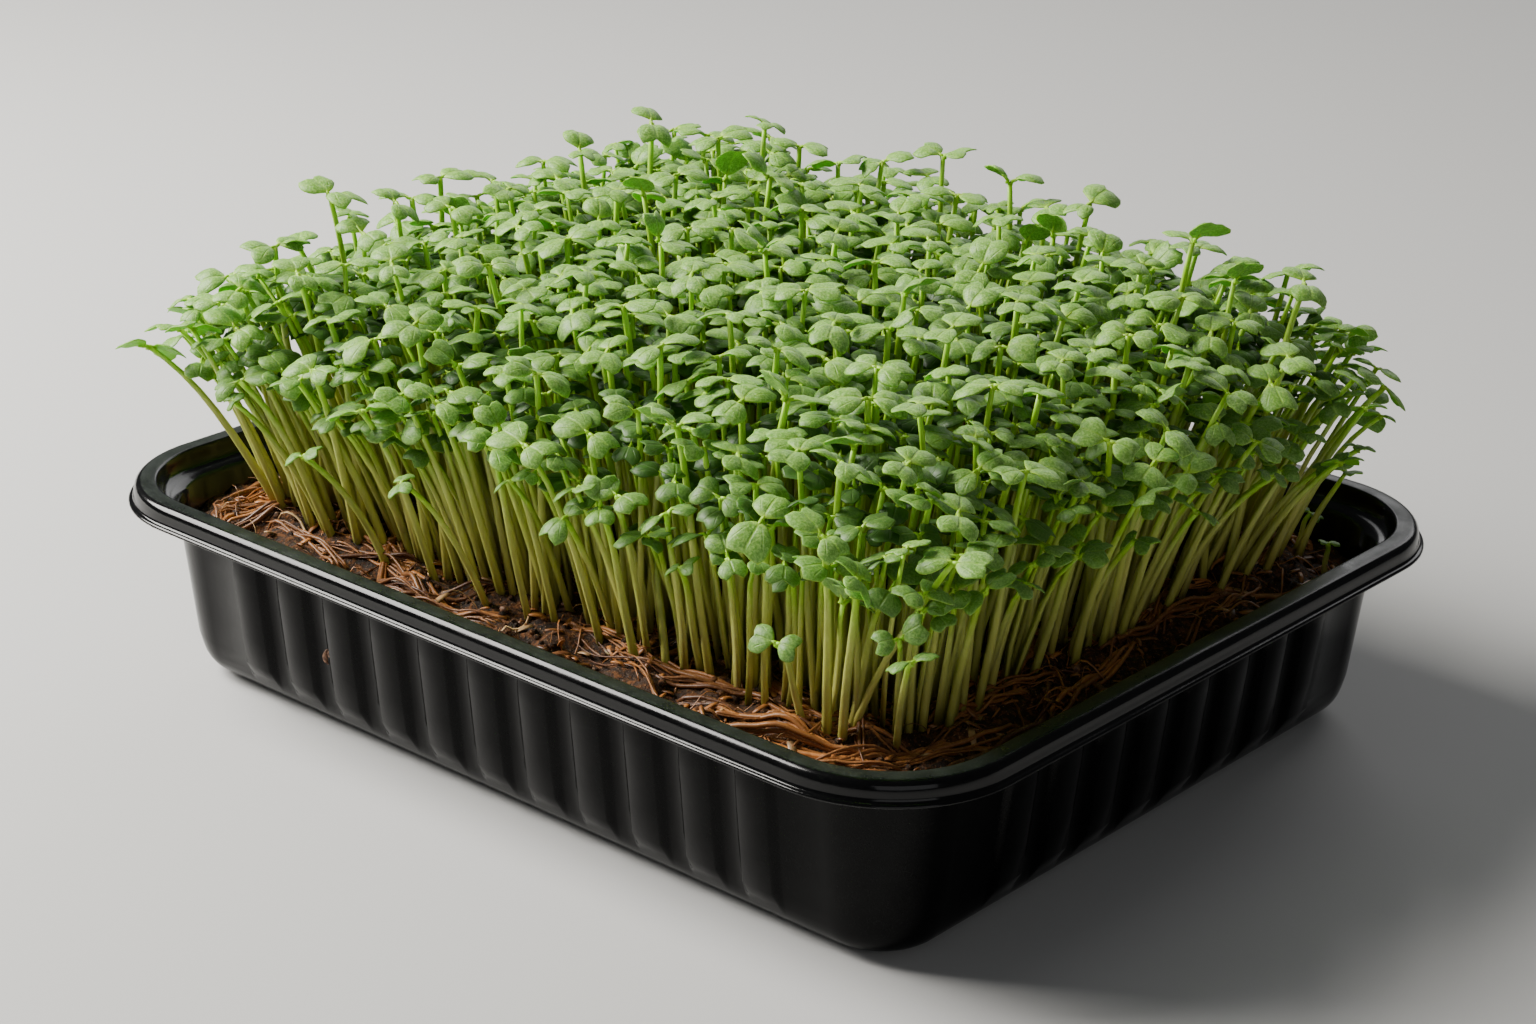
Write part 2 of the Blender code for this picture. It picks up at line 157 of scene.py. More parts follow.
FIBRE_SAG = 0.0003
FIBRE_ENDS_SUNK = 0.0008
BEND_KEPT = 0.75
NEW_BEND = 0.6
LOOK_AHEAD = 2.5
TURN_BACK = 0.55
HAIRS = (260, 0.75, 0.80)
HAIR_LENGTH = (0.0025, 0.0070)
HAIR_STAND = (0.25, 0.9)
HAIR_SUNK = 0.0004
HAIR_RADII = (0.00013, 0.00005)
HAIR_POINTS = 6
FLAKES = (620, 0.75, 0.82)
FLAKE_LENGTH = (0.0014, 0.0050)
FLAKE_WIDTH = (0.22, 0.5)
FLAKE_THICKNESS = 0.00022
FLAKE_BEND = 0.0003
FLAKE_LIFT = 0.0003
FLAKE_PITCH = 0.35
CRUMBS = (1300, 0.70, 0.82)
CRUMB_RADIUS = (0.0003, 0.0010)
HUSKS = (34, 1, 0.84)
HUSK_RADIUS = (0.0007, 0.0011)
LUMP_SPREAD = (0.75, 1.2)
LUMP_FLATNESS = 0.8

# Seedlings, as in the CAD part
SEED = 20
CLUMP_ROWS = 7
CLUMP_COLUMNS = 7
FOOT_GATHER = (0.24, 0.0023)
NET_PITCH = 0.0115
CANOPY_REACH = (0.0975, 0.0800)
CANOPY_HEIGHT = 0.0925
CANOPY_DROOP = (0.0160, 0.0220)
CANOPY_POWER = 20
LAYER_STEP = 0.0030
TOP_SHIFT = 0.0018
TOP_LIFT = 0.0010
TALL_SHARE = 0.03
TALL_RISE = (0.002, 0.005)
TILT = (0.02, 0.24)
TILT_TURN = 2.2
TILT_LEAN = 0.7
LEAF_SIZES = (0.92, 1.06)
LEAF_SHRINK = 0.15
TRIES = 60
CLEAR_TOPS = 0.030
STRAYS = (
    (-0.0748, -0.0484, 0.0980),
    (-0.0767, -0.0613, 0.0910),
    (-0.0866, -0.0710, 0.0830),
    (-0.0931, -0.0807, 0.0710),
    (-0.0798, -0.0140, 0.0950),
    (-0.0664, 0.0134, 0.0975),
    (-0.0638, 0.0326, 0.0990),
    (-0.0500, 0.0383, 0.0980),
    (-0.0457, 0.0484, 0.1010),
    (-0.0193, 0.0548, 0.0980),
    (-0.0043, 0.0570, 0.0995),
    (0.0129, 0.0573, 0.0970),
    (0.0310, 0.0601, 0.0960),
    (0.0629, 0.0496, 0.0980),
    (0.0846, 0.0560, 0.0930),
    (0.0963, 0.0631, 0.0810),
    (0.0974, 0.0675, 0.0720),
    (0.0856, -0.0682, 0.0685),
    (0.0895, -0.0488, 0.0770),
)
STEM_SIDES = 3
STEM_FOOT_RADIUS = 0.00110
STEM_TOP_RADIUS = 0.00085
STEM_SUNK = 0.0022
STEM_BOW = 0.004
LEAF_OUTLINE = ((0.0019, 0.0040), (0.0066, 0.0033), (0.0063, 0.0))
LEAF_WAIST = 0.0012
LEAF_MIDDLE = 0.0040
LEAF_CROWN = 0.0004
LEAF_HANG = 0.0015
LEAF_ROOT = 0.0008
SMALL_LEAF = 0.86

# Places of the finer seedlings. A layer of fillers is the pitch of its net, the depths of its stems'
# tops under the canopy, the sizes of its leaves, the edge share from which it grows, and whether it is
# a hidden one, whose leaves keep clear of the other leaves only, and which is made with fewer faces.
# The edge shares at which fillers end are for the shown ones and for the hidden ones. A late plant is
# its top, its leaves' size and its foot.
FINE_GATHER = (0.40, 0.0048)
CANOPY_FALL = 0.019
FILLER_LAYERS = (
    (0.0078, (0.0005, 0.0055), (0.84, 1.04), 0.0, False),
    (0.0074, (0.0080, 0.0190), (0.50, 0.86), 0.74, False),
    (0.0076, (0.0040, 0.0110), (0.76, 1.00), 0.0, True),
    (0.0090, (0.0090, 0.0170), (0.76, 1.00), 0.0, True),
    (0.0080, (0.0020, 0.0180), (0.62, 0.92), 0.72, True),
)
FILLER_EDGES = (0.99, 0.965)
FILLER_FEET = (0.0835, 0.0655)
FILLER_SHIFT = 0.35
FILLER_FOOT_SHIFT = 0.0022
FILLER_TOP_SHIFT = 0.0016
FILLER_TILT = (0.0, 0.34)
FILLER_TILT_TURN = 2.4
FILLER_TILT_LEAN = 0.6
FILLER_TRIES = 26
NEARBY_TOPS = 0.034
LATE_PLANTS = (
    (0.0985, 0.0520, 0.0600, 0.62, 0.0835, 0.0430),
    (0.0990, 0.0600, 0.0700, 0.70, 0.0840, 0.0500),
    (-0.0150, -0.0835, 0.0640, 0.66, -0.0130, -0.0660),
    (0.0229, -0.0600, 0.0600, 0.80, 0.0300, -0.0630),
    (0.0905, 0.0640, 0.0545, 0.50, 0.0835, 0.0640),
    (0.0825, 0.0692, 0.0425, 0.40, 0.0810, 0.0670),
    (0.0915, 0.0645, 0.0400, 0.34, 0.0900, 0.0640),
)

# Stems and stalks of the finer seedlings. A pair is for the shown plants and for the hidden ones. The
# stem's radii are two ranges, at its foot and at its top, and the stalk's run from the stem to the leaf.
STEM_RINGS = (9, 5)
FINE_STEM_SIDES = (6, 3)
STEM_RADII = ((0.00072, 0.00102), (0.00046, 0.00058))
STEM_SWAY = 0.0009
STALK_SIDES = (5, 3)
STALK_RADII = (0.00046, 0.00044, 0.00036, 0.00016)
STALK_RISE = 0.97

# Leaves of the finer seedlings. The rings and steps are for the shown plants and for the hidden ones.
# A blade's length, width, cup and droop are a size and the least and greatest share of it that chance
# picks. A rise of its outline is its height, then its bearing if it lies aside, and its width. The
# groove is its depth and width, a ripple its height and waves. The chances of a lifted leaf are for
# plants up to a height and for those above it.
LEAF_RINGS = ((0.40, 0.74, 0.94, 1.0), (0.55, 0.93, 1.0))
UNDERSIDE_RINGS = ((0.94, 0.5), (0.80,))
LEAF_STEPS = (18, 11)
LEAF_SPAN = 2.2 * LEAF_MIDDLE
BLADE_LENGTH = (0.00288, 0.92, 1.10)
BLADE_WIDTH = (0.00392, 0.88, 1.06)
BLADE_HANG = LEAF_HANG * 0.62
NOTCHES = (0.20, 0.34, 0.44, 0.52)
NOTCH_SHIFT = 0.04
NOTCH_WIDTH = 0.43
BASE_RISE = (0.16, 0.42)
SHOULDER_RISE = (0.20, 0.66, 0.40)
SKEW = 0.05
LEAF_CUP = (0.0011, 0.4, 1.0)
GROOVE = (0.00050, 0.0009)
RIPPLES = ((0.00020, 2), (0.00012, 5))
LEAF_THICKNESS = 0.00042
LEAF_DROOP = (0.0009, 0.2, 1.1)
LEAF_FOLD = (-0.10, 0.16)
LEAF_TWIST = 0.10
LEAF_CEILING = 0.1044
LIFTED_LEAVES = (0.07, 0.50)
LIFTED_FROM = CANOPY_HEIGHT + 0.0035
LEAF_LIFT = (0.55, 1.15)
LIFTED_UNDERSIDE = 0.04

# Painted light on a plant's leaves, which darkens their colour as painted shade: all of it down to a depth,
# none below a further one, and more at the stand's edge
LIT_DEPTH = 0.001
SHADE_DEPTH = 0.0090
EDGE_LIGHT_FROM = 0.84
EDGE_LIGHT_MOST = 0.62

# Camera, fitted to the photograph
CAMERA_PLACE = (0.3914, -0.4552, 0.2826)
CAMERA_TARGET = (0.00610, -0.00816, 0.0420)
CAMERA_LENS = 75.78
CAMERA_SENSOR = 36.0
CAMERA_ROLL = 1.163
CAMERA_CLIP = (0.01, 20.0)

# Studio. A light is its name, place, size, power and colour.
FLOOR_REACH = 3
FLOOR_LEVEL = -0.0002
FLOOR_COLOUR = (0.58, 0.58, 0.57)
SKY_COLOUR = (0.86, 0.89, 0.93)
SKY_STRENGTH = 0.08
LIT_POINT = (0.0, 0.0, 0.06)
LIGHTS = (
    ("key", (-0.66, -0.34, 0.64), (0.50, 0.62), 28.0, (1.0, 0.97, 0.92)),
    ("back", (-0.70, 1.90, 1.14), (1.80, 1.00), 13.0, (1.0, 1.0, 1.0)),
    ("fill", (0.85, -0.60, 0.40), (0.80, 0.60), 1.2, (1.0, 1.0, 1.0)),
)


# Materials


class Look:
    """A material, with a short call for each kind of shader node that it needs."""

    def __init__(self, name):
        self.material = bpy.data.materials.new(name)
        self.material.use_nodes = True
        self.tree = self.material.node_tree
        self.shader = self.tree.nodes["Principled BSDF"]
        self.place = self.node("ShaderNodeTexCoord").outputs["Object"]

    def feed(self, socket, value):
        """Links another socket to this one, or sets it to a number, a vector or a colour."""
        if isinstance(value, bpy.types.NodeSocket):
            self.tree.links.new(value, socket)
        else:
            socket.default_value = (*value, 1.0) if socket.type == "RGBA" else value

    def node(self, kind, inputs=(), **settings):
        """A new node. Each input is an (index or name, value or socket) pair."""
        made = self.tree.nodes.new(kind)
        for name, value in settings.items():
            setattr(made, name, value)
        for key, value in inputs:
            self.feed(made.inputs[key], value)
        return made

    def calc(self, operation, *values):
        """The result of one step of arithmetic on numbers or sockets."""
        return self.node("ShaderNodeMath", enumerate(values), operation=operation).outputs[0]

    def grain(self, size, detail=2.0, roughness=0.5, place=None):
        """Noise, from 0 to 1, whose features are about that many metres across."""
        inputs = [("Vector", place or self.place), ("Scale", 1 / size)]
        inputs += [("Detail", detail), ("Roughness", roughness)]
        return self.node("ShaderNodeTexNoise", inputs).outputs["Fac"]

    def step(self, value, low, high, bottom=0.0, top=1.0):
        """A smooth step from bottom to top as the value goes from low to high."""
        inputs = [("Value", value), ("From Min", low), ("From Max", high)]
        inputs += [("To Min", bottom), ("To Max", top)]
        made = self.node("ShaderNodeMapRange", inputs, interpolation_type="SMOOTHSTEP")
        return made.outputs["Result"]

    def mix(self, share, first, second):
        """Two colours mixed by a share. Each is three numbers or a socket."""
        inputs = [(0, share), (6, first), (7, second)]
        return self.node("ShaderNodeMix", inputs, data_type="RGBA").outputs[2]

    def split(self, vector):
        """The three numbers of a vector."""
        return self.node("ShaderNodeSeparateXYZ", [("Vector", vector)]).outputs

    def attribute(self, name):
        """The three numbers of a named point attribute."""
        return self.split(self.node("ShaderNodeAttribute", attribute_name=name).outputs["Vector"])

    def dress(self, colour, roughness, relief, distance, strength, others=None):
        """Gives the Principled shader its inputs and returns the material."""
        heights = [("Height", relief), ("Distance", distance), ("Strength", strength)]
        bump = self.node("ShaderNodeBump", heights).outputs["Normal"]
        inputs = {"Base Color": colour, "Roughness": roughness, "Normal": bump}
        for name, value in (inputs | (others or {})).items():
            self.feed(self.shader.inputs[name], value)
        return self.material


def glow(weight, radius, scale):
    """Shader inputs for a constant share of light that scatters under the surface."""
    return {"Subsurface Weight": weight, "Subsurface Radius": radius, "Subsurface Scale": scale}


def plastic_material(name, specular):
    """Black plastic of that gloss with a faint orange peel, and dust where it faces up."""
    look = Look(name)
    _, _, upward = look.split(look.node("ShaderNodeNewGeometry").outputs["Normal"])
    flat = look.step(upward, 0.93, 0.995)
    film = look.step(look.grain(0.0045, 5.0, 0.65), 0.30, 0.72)
    specks = look.step(look.grain(0.00035), 0.56, 0.68)
    dust = look.calc("MULTIPLY", flat, look.calc("MULTIPLY_ADD", film, 0.45, 0.40))
    speckled = look.calc("MULTIPLY", specks, look.calc("MULTIPLY_ADD", flat, 0.50, 0.04))
    black = look.mix(film, (0.0014, 0.0014, 0.0016), (0.0026, 0.0027, 0.0028))
    dusty = look.mix(dust, black, (0.020, 0.026, 0.022))
    colour = look.mix(speckled, dusty, (0.065, 0.075, 0.065))
    haze = look.step(look.grain(0.016, 3.0, 0.6), 0.35, 0.70, 0.11, 0.20)
    roughness = look.calc("MULTIPLY_ADD", dust, 0.34, haze)
    relief = look.calc("MULTIPLY_ADD", look.grain(0.011, 1.0), 6.0, look.grain(0.0011))
    gloss = {"IOR": 1.46, "Specular IOR Level": specular}
    return look.dress(colour, roughness, relief, 0.00003, 0.35, gloss)


def bed_material():
    """Moist dark coir pith with lighter, drier crumbs."""
    look = Look("coir_bed")
    broad = look.grain(0.009, 4.0, 0.6)
    crumbs = look.grain(0.0016, 5.0, 0.7)
    fine = look.grain(0.0005, 3.0, 0.6)
    dark = look.mix(look.step(broad, 0.35, 0.65), (0.012, 0.006, 0.003), (0.042, 0.018, 0.007))
    brown = look.mix(look.step(crumbs, 0.46, 0.64), dark, (0.170, 0.066, 0.022))
    colour = look.mix(look.step(fine, 0.60, 0.72), brown, (0.420, 0.230, 0.110))
    roughness = look.step(crumbs, 0.35, 0.60, 0.60, 0.95)
    relief = look.calc("MULTIPLY_ADD", crumbs, 2.0, fine)
    return look.dress(colour, roughness, relief, 0.0005, 0.9, {"Specular IOR Level": 0.30})


def fibre_material():
    """Coir fibre: each one has its own brown, with darker and paler stretches."""
    look = Look("coir_fibre")
    tone, _, pale = look.attribute("growth")
    patches = look.grain(0.0030, 3.0, 0.6)
    streaks = look.grain(0.0004)
    brown = look.mix(tone, (0.070, 0.020, 0.005), (0.560, 0.210, 0.048))
    straw = look.mix(pale, brown, (0.700, 0.480, 0.240))
    worn = look.mix(look.step(patches, 0.40, 0.66, 0.0, 0.40), straw, (0.100, 0.036, 0.012))
    colour = look.mix(look.step(streaks, 0.52, 0.72, 0.0, 0.30), worn, (0.74, 0.38, 0.14))
    return look.dress(colour, 0.42, streaks, 0.00006, 0.4)


def husk_material():
    """A papery reddish-brown seed coat."""
    look = Look("seed_husk")
    mottle = look.grain(0.0006, 3.0)
    colour = look.mix(look.step(mottle, 0.4, 0.65), (0.10, 0.040, 0.020), (0.33, 0.17, 0.085))
    return look.dress(colour, 0.6, mottle, 0.0001, 0.5)


def stem_material():
    """Juicy stems: straw yellow at the foot, pale green in the middle and lime at the top."""
    look = Look("stem")
    tone, rise, _ = look.attribute("growth")
    ramp = look.node("ShaderNodeValToRGB", [("Fac", rise)])
    stops = (
        (0.00, (0.240, 0.140, 0.030)),
        (0.06, (0.470, 0.400, 0.080)),
        (0.20, (0.660, 0.620, 0.170)),
        (0.55, (0.530, 0.590, 0.135)),
        (0.80, (0.320, 0.600, 0.018)),
        (1.00, (0.340, 0.740, 0.006)),
    )
    elements = ramp.color_ramp.elements
    for position, _ in stops[1:-1]:
        elements.new(position)
    for element, (_, colour) in zip(elements, stops):
        element.color = (*colour, 1.0)
    drawn_out = look.node("ShaderNodeMapping", [("Vector", look.place), ("Scale", (1.0, 1.0, 0.12))])
    streaks = look.grain(0.0007, 3.0, 0.6, drawn_out.outputs["Vector"])
    toned = look.mix(look.calc("MULTIPLY", tone, 0.35), ramp.outputs["Color"], (0.34, 0.48, 0.01))
    colour = look.mix(look.step(streaks, 0.45, 0.70, 0.0, 0.26), toned, (0.70, 0.76, 0.30))
    return look.dress(colour, 0.40, streaks, 0.00008, 0.4, glow(0.35, (0.9, 1.0, 0.35), 0.0009))


def leaf_material():
    """Seed leaves: a pale bloom over green, faint veins, a lighter lime underside, and painted shade that
    darkens them deep in the stand.
    """
    look = Look("seed_leaf")
    tone, light, side = look.attribute("growth")
    along, across, reach = look.attribute("blade")
    middle_vein = look.step(look.calc("ABSOLUTE", across), 0.02, 0.10, 1.0, 0.0)
    bearing = look.calc("ARCTAN2", across, look.calc("ADD", along, 0.10))
    ripple = look.calc("ABSOLUTE", look.calc("SINE", look.calc("MULTIPLY", bearing, 4.2)))
    side_veins = look.step(ripple, 0.03, 0.20, 0.7, 0.0)
    inner = look.step(reach, 0.55, 0.95, 1.0, 0.0)
    veins = look.calc("MULTIPLY", look.calc("MAXIMUM", middle_vein, side_veins), inner)
    patches = look.grain(0.0042, 3.0, 0.6)
    bloom = look.grain(0.00042, 3.0, 0.7)
    green = look.mix(tone, (0.034, 0.150, 0.003), (0.100, 0.280, 0.007))
    patched = look.mix(look.step(patches, 0.30, 0.70, 0.0, 0.7), green, (0.085, 0.265, 0.008))
    dusted = look.mix(look.step(bloom, 0.34, 0.70, 0.16, 0.82), patched, (0.395, 0.635, 0.165))
    veined = look.mix(look.calc("MULTIPLY", veins, 0.30), dusted, (0.340, 0.600, 0.040))
    hearted = look.mix(look.step(along, 0.02, 0.20, 0.80, 0.0), veined, (0.420, 0.680, 0.060))
    rimmed = look.mix(look.step(reach, 0.92, 1.0, 0.0, 0.42), hearted, (0.300, 0.620, 0.020))
    # painted shade: the leaf colour darkens to deep green where the plant's stored share of light is low,
    # deep in the stand
    painted_shade = look.mix(look.step(light, 0.0, 1.0, 0.93, 0.0), rimmed, (0.014, 0.066, 0.0005))
    colour = look.mix(side, (0.200, 0.540, 0.004), painted_shade)
    roughness = look.step(bloom, 0.30, 0.70, 0.38, 0.56)
    relief = look.calc("MULTIPLY_ADD", veins, -2.0, bloom)
    sheen = {"Sheen Weight": 0.16, "Sheen Roughness": 0.45, "Sheen Tint": (0.62, 1.0, 0.45)}
    others = glow(0.36, (0.70, 1.0, 0.08), 0.0010) | sheen | {"Specular IOR Level": 0.40}
    return look.dress(colour, roughness, relief, 0.00008, 0.6, others)


# Meshes


class Shape:
    """Points, faces and point attributes, gathered part by part."""

    def __init__(self):
        self.points = []
        self.growth = []
        self.blade = []
        self.faces = []
        self.finish = []
        self.count = 0

    def add(self, points, faces, growth=(0, 0, 0), blade=None, finish=0):
        """Adds one part. Faces is a list of whole-number arrays, one array for each number of corners."""
        points = np.asarray(points, float)
        self.points.append(points)
        self.growth.append(np.broadcast_to(np.asarray(growth, float), points.shape))
        self.blade.append(np.zeros(points.shape) if blade is None else blade)
        for group in faces:
            self.faces += (np.asarray(group) + self.count).tolist()
            self.finish += [finish] * len(group)
        self.count += len(points)

    def build(self, name, *finishes):
        """The piece, as a new smooth-shaded object."""
        mesh = bpy.data.meshes.new(name)
        mesh.from_pydata(np.vstack(self.points).tolist(), [], self.faces)
        for finish in finishes:
            mesh.materials.append(finish)
        mesh.polygons.foreach_set("material_index", self.finish)
        for label, values in (("growth", self.growth), ("blade", self.blade)):
            stored = mesh.attributes.new(label, "FLOAT_VECTOR", "POINT")
            stored.data.foreach_set("vector", np.vstack(values).astype(np.float32).ravel())
        mesh.shade_smooth()
        return put_in_scene(name, mesh)


def put_in_scene(name, data):
    """A new object of that data, linked to the scene."""
    made = bpy.data.objects.new(name, data)
    bpy.context.scene.collection.objects.link(made)
    return made


def held(value):
    """A number held between 0 and 1."""
    return min(1.0, max(0.0, value))


def unit(vectors):
    return vectors / np.maximum(np.linalg.norm(vectors, axis=-1, keepdims=True), 1e-12)


def bands(rings, sides):
    """The quads between closed rings of points that follow one another."""
    low = np.arange((rings - 1) * sides).reshape(-1, sides)
    step = np.roll(low, -1, axis=1)
    return np.stack([low, low + sides, step + sides, step], axis=-1).reshape(-1, 4)


def ringed_faces(rings, sides):
    """The bands between rings and the fans at both ends, whose middles are the last two points."""
    first = np.arange(sides)
    last = first + (rings - 1) * sides
    middles = np.full((2, sides), [[rings * sides], [rings * sides + 1]])
    start = np.column_stack([middles[0], first, np.roll(first, -1)])
    end = np.column_stack([middles[1], np.roll(last, -1), last])
    return [bands(rings, sides), np.vstack([start, end])]


def tube(path, radii, sides, turn=0.0):
    """Points and faces of a tube with closed ends along a path."""
    path = np.asarray(path, float)
    along = unit(np.gradient(path, axis=0))
    least = np.eye(3)[np.argmin(np.abs(path[-1] - path[0]))]
    first = unit(np.cross(along, least))
    second = np.cross(first, along)
    angles = (turn + 2 * np.pi * np.arange(sides) / sides)[None, :, None]
    wheel = np.cos(angles) * first[:, None, :] + np.sin(angles) * second[:, None, :]
    rings = path[:, None, :] + np.asarray(radii, float)[:, None, None] * wheel
    return np.vstack([rings.reshape(-1, 3), path[:1], path[-1:]]), ringed_faces(len(path), sides)


# Tray


def rounded_section(points):
    """A polyline with its corners cut again and again, and its two ends kept."""
    points = np.array(points, float)
    for _ in range(SECTION_CUTS):
        low = 0.75 * points[:-1] + 0.25 * points[1:]
        high = 0.25 * points[:-1] + 0.75 * points[1:]
        cut = np.stack([low, high], axis=1).reshape(-1, 2)
        points = np.vstack([points[:1], cut[1:-1], points[-1:]])
    return points


def side_stops(length, count):
    """Distances along one side with the share of a rib's rise at each, its flanks rounded."""
    stops = []
    for i in range(count):
        middle = length / 2 + (i - (count - 1) / 2) * RIB_PITCH
        for end in (-1, 1):
            for step in range(FLANK_STEPS + 1):
                t = step / FLANK_STEPS if end < 0 else 1 - step / FLANK_STEPS
                share = t * t * (3 - 2 * t)
                stops.append((middle + end * (RIB_WIDTH / 2 + (1 - t) * RIB_RISE), share))
            if end < 0:
                stops.append((middle, 1.0))
        if i < count - 1:
            stops.append((middle + RIB_PITCH / 2, 0.0))
    return stops


def turn_template():
    """For each point of a turn round the tray: where it is measured from, its direction, its rib share."""
    reach = np.array([TRAY_LENGTH / 2 - CORNER_RADIUS, TRAY_WIDTH / 2 - CORNER_RADIUS])
    bases, ways, shares = [], [], []
    for corner in range(4):
        centre = reach * ((1, -1, -1, 1)[corner], (1, 1, -1, -1)[corner])
        for step in range(CORNER_STEPS + 1):
            angle = math.radians(90 * (corner + step / CORNER_STEPS))
            bases.append(centre)
            ways.append((math.cos(angle), math.sin(angle)))
            shares.append(0.0)
        side = math.radians(90 * corner + 90)
        out = np.array([math.cos(side), math.sin(side)])
        along = np.array([-out[1], out[0]])
        for distance, share in side_stops(2 * reach[corner % 2], (RIBS_LONG, RIBS_SHORT)[corner % 2]):
            bases.append(centre + distance * along)
            ways.append(out)
            shares.append(share)
    return np.array(bases), np.array(ways), np.array(shares)


def smooth_step(value, low, high):
    t = np.clip((value - low) / (high - low), 0, 1)
    return t * t * (3 - 2 * t)


def fine_section():
    """The tray's rounded section, the ribs' share of rise at each point, and the bands below the rim."""
    outside = rounded_section(OUTSIDE_FOOT + (WALL_FOOT,))
    wall = np.linspace(WALL_FOOT, WALL_HEAD, WALL_STEPS + 1)
    rim = rounded_section((WALL_HEAD,) + RIM_SECTION)
    section = np.vstack([outside, wall[1:], rim[1:], INSIDE_FOOT])
    ribbed = np.arange(len(section)) < len(outside) + WALL_STEPS + RIBBED_RIM_STEPS
    heights = section[:, 1]
    rise = smooth_step(heights, *RIB_FOOT) * (1 - smooth_step(heights, *RIB_HEAD)) * ribbed
    return section, rise, len(outside) + WALL_STEPS - 1


def fine_tray(rim_finish, wall_finish):
    """The tray in one skin, from the middle of its underside round to the middle of its floor."""
    bases, ways, shares = turn_template()
    section, rises, wall_bands = fine_section()
    size = len(bases)
    turns = []
    for (inset, height), rise in zip(section, rises):
        flat = bases + ways * (CORNER_RADIUS - inset + RIB_RISE * rise * shares)[:, None]
        turns.append(np.column_stack([flat, np.full(size, height)]))
    points = np.vstack(turns)
    outward = bands(len(turns), size)[:, [0, 3, 2, 1]]
    underside = [list(range(size))[::-1]]
    floor = [list(range(len(points) - size, len(points)))]
    shape = Shape()
    shape.add(points, [outward, underside, floor])
    shape.finish[: wall_bands * size] = [1] * (wall_bands * size)
    made = shape.build("tray_fine", rim_finish, wall_finish)
    made.data.set_sharp_from_angle(angle=math.radians(SHARP_ANGLE))
    return made


def wall_husk(finish):
    """A split seed coat that has dried onto the tray's long wall."""
    shape = Shape()
    t = np.linspace(-1, 1, 7)
    for offset, length, width, lean in WALL_HUSK_PARTS:
        x = WALL_HUSK_PLACE[0] + offset + 0.0005 * t * t + lean * 0.001 * t
        z = WALL_HUSK_PLACE[1] + 0.6 * offset + 0.5 * length * t
        inset = np.interp(z, (WALL_FOOT[1], WALL_HEAD[1]), (WALL_FOOT[0], WALL_HEAD[0]))
        y = -(TRAY_WIDTH / 2 - inset) - 0.0003 - 0.0004 * (1 - t * t)
        radii = width * np.sqrt(np.maximum(1 - t * t, 0.03)) * 0.6
        shape.add(*tube(np.column_stack([x, y, z]), radii, 6))
    return shape.build("husk_on_wall", finish)


# Substrate


def edge_share(x, y, reach, power=CORNER_POWER):
    """0 in the middle of a rounded oblong of that half length and half width, and 1 on its edge."""
    return ((abs(x) / reach[0]) ** power + (abs(y) / reach[1]) ** power) ** (1 / power)


def soil_height(x, y):
    """The CAD substrate's surface: low mounds, sinking a little towards the tray's wall."""
    mounds = math.sin(210 * x + 1.3) * math.cos(260 * y - 0.4) + 0.6 * math.sin(330 * x + 290 * y)
    return SOIL_LEVEL + SOIL_RELIEF * mounds - SOIL_SINK * edge_share(x, y, SOIL_REACH) ** 8


def bed_height(x, y):
    """The fine bed's surface: the CAD surface with lumps and crumbs, lower in two of the tray's corners."""
    place = Vector((x, y, 0))
    lumps = noise.fractal(place * BED_LUMPS[1], 0.9, 2.1, 4)
    crumbs = 0.5 - noise.voronoi(place * BED_CRUMBS[1])[0][0]
    dip = 0.0
    for corner_x, corner_y, depth in CORNER_DIPS:
        away = math.hypot(x - corner_x, y - corner_y)
        dip += depth * math.exp(-((away / DIP_REACH) ** 2))
    return soil_height(x, y) + BED_LUMPS[0] * lumps + BED_CRUMBS[0] * crumbs - dip


def half_length_at(y, inset):
    """Half the bed's length on the row at y, for the tray's rounded outline at that inset."""
    radius = CORNER_RADIUS - inset
    into_corner = max(0.0, abs(y) - (TRAY_WIDTH / 2 - CORNER_RADIUS))
    return TRAY_LENGTH / 2 - CORNER_RADIUS + math.sqrt(max(radius**2 - into_corner**2, 0.0))


def coir_bed(finish):
    """The crumbly top of the substrate on a block that fills the tray to its floor."""
    half_width = TRAY_WIDTH / 2 - BED_INSET
    points = []
    for row in range(BED_ROWS + 1):
        v = 2 * row / BED_ROWS - 1
        y = half_width * math.sin(math.pi / 2 * v) * 0.25 + half_width * v * 0.75
        half = half_length_at(y, BED_INSET)
        for column in range(BED_COLUMNS + 1):
            x = half * (2 * column / BED_COLUMNS - 1)
            points.append((x, y, bed_height(x, y)))
    points = np.array(points)
    index = np.arange(len(points)).reshape(-1, BED_COLUMNS + 1)
    quads = np.stack([index[:-1, :-1], index[:-1, 1:], index[1:, 1:], index[1:, :-1]], axis=-1)
    rim = np.concatenate([index[0], index[1:, -1], index[-1, -2::-1], index[-2:0:-1, 0]])
    walls = []
    upper = rim
    for (inset, _), level in zip((INSIDE_FOOT[0], INSIDE_FOOT[1], INSIDE_FOOT[3]), BED_LEVELS):
        ring = points[rim].copy()
        shrink = (BED_INSET - inset - BED_GAP) / np.maximum(np.abs(ring[:, :2]).max(axis=0), 1e-9)
        ring[:, :2] *= 1 + shrink
        ring[:, 2] = level
        lower = np.arange(len(points), len(points) + len(ring))
        points = np.vstack([points, ring])
        walls.append(np.stack([lower, np.roll(lower, -1), np.roll(upper, -1), upper], axis=-1))
        upper = lower
    shape = Shape()
    shape.add(points, [quads.reshape(-1, 4), *walls, [upper[::-1].tolist()]])
    return shape.build("coir_bed", finish)


# Loose bits on the bed


def bed_share(x, y, edge=BED_EDGE):
    """How far out a spot lies, 1 on that edge of the bed."""
    return edge_share(x, y, edge, BED_POWER)


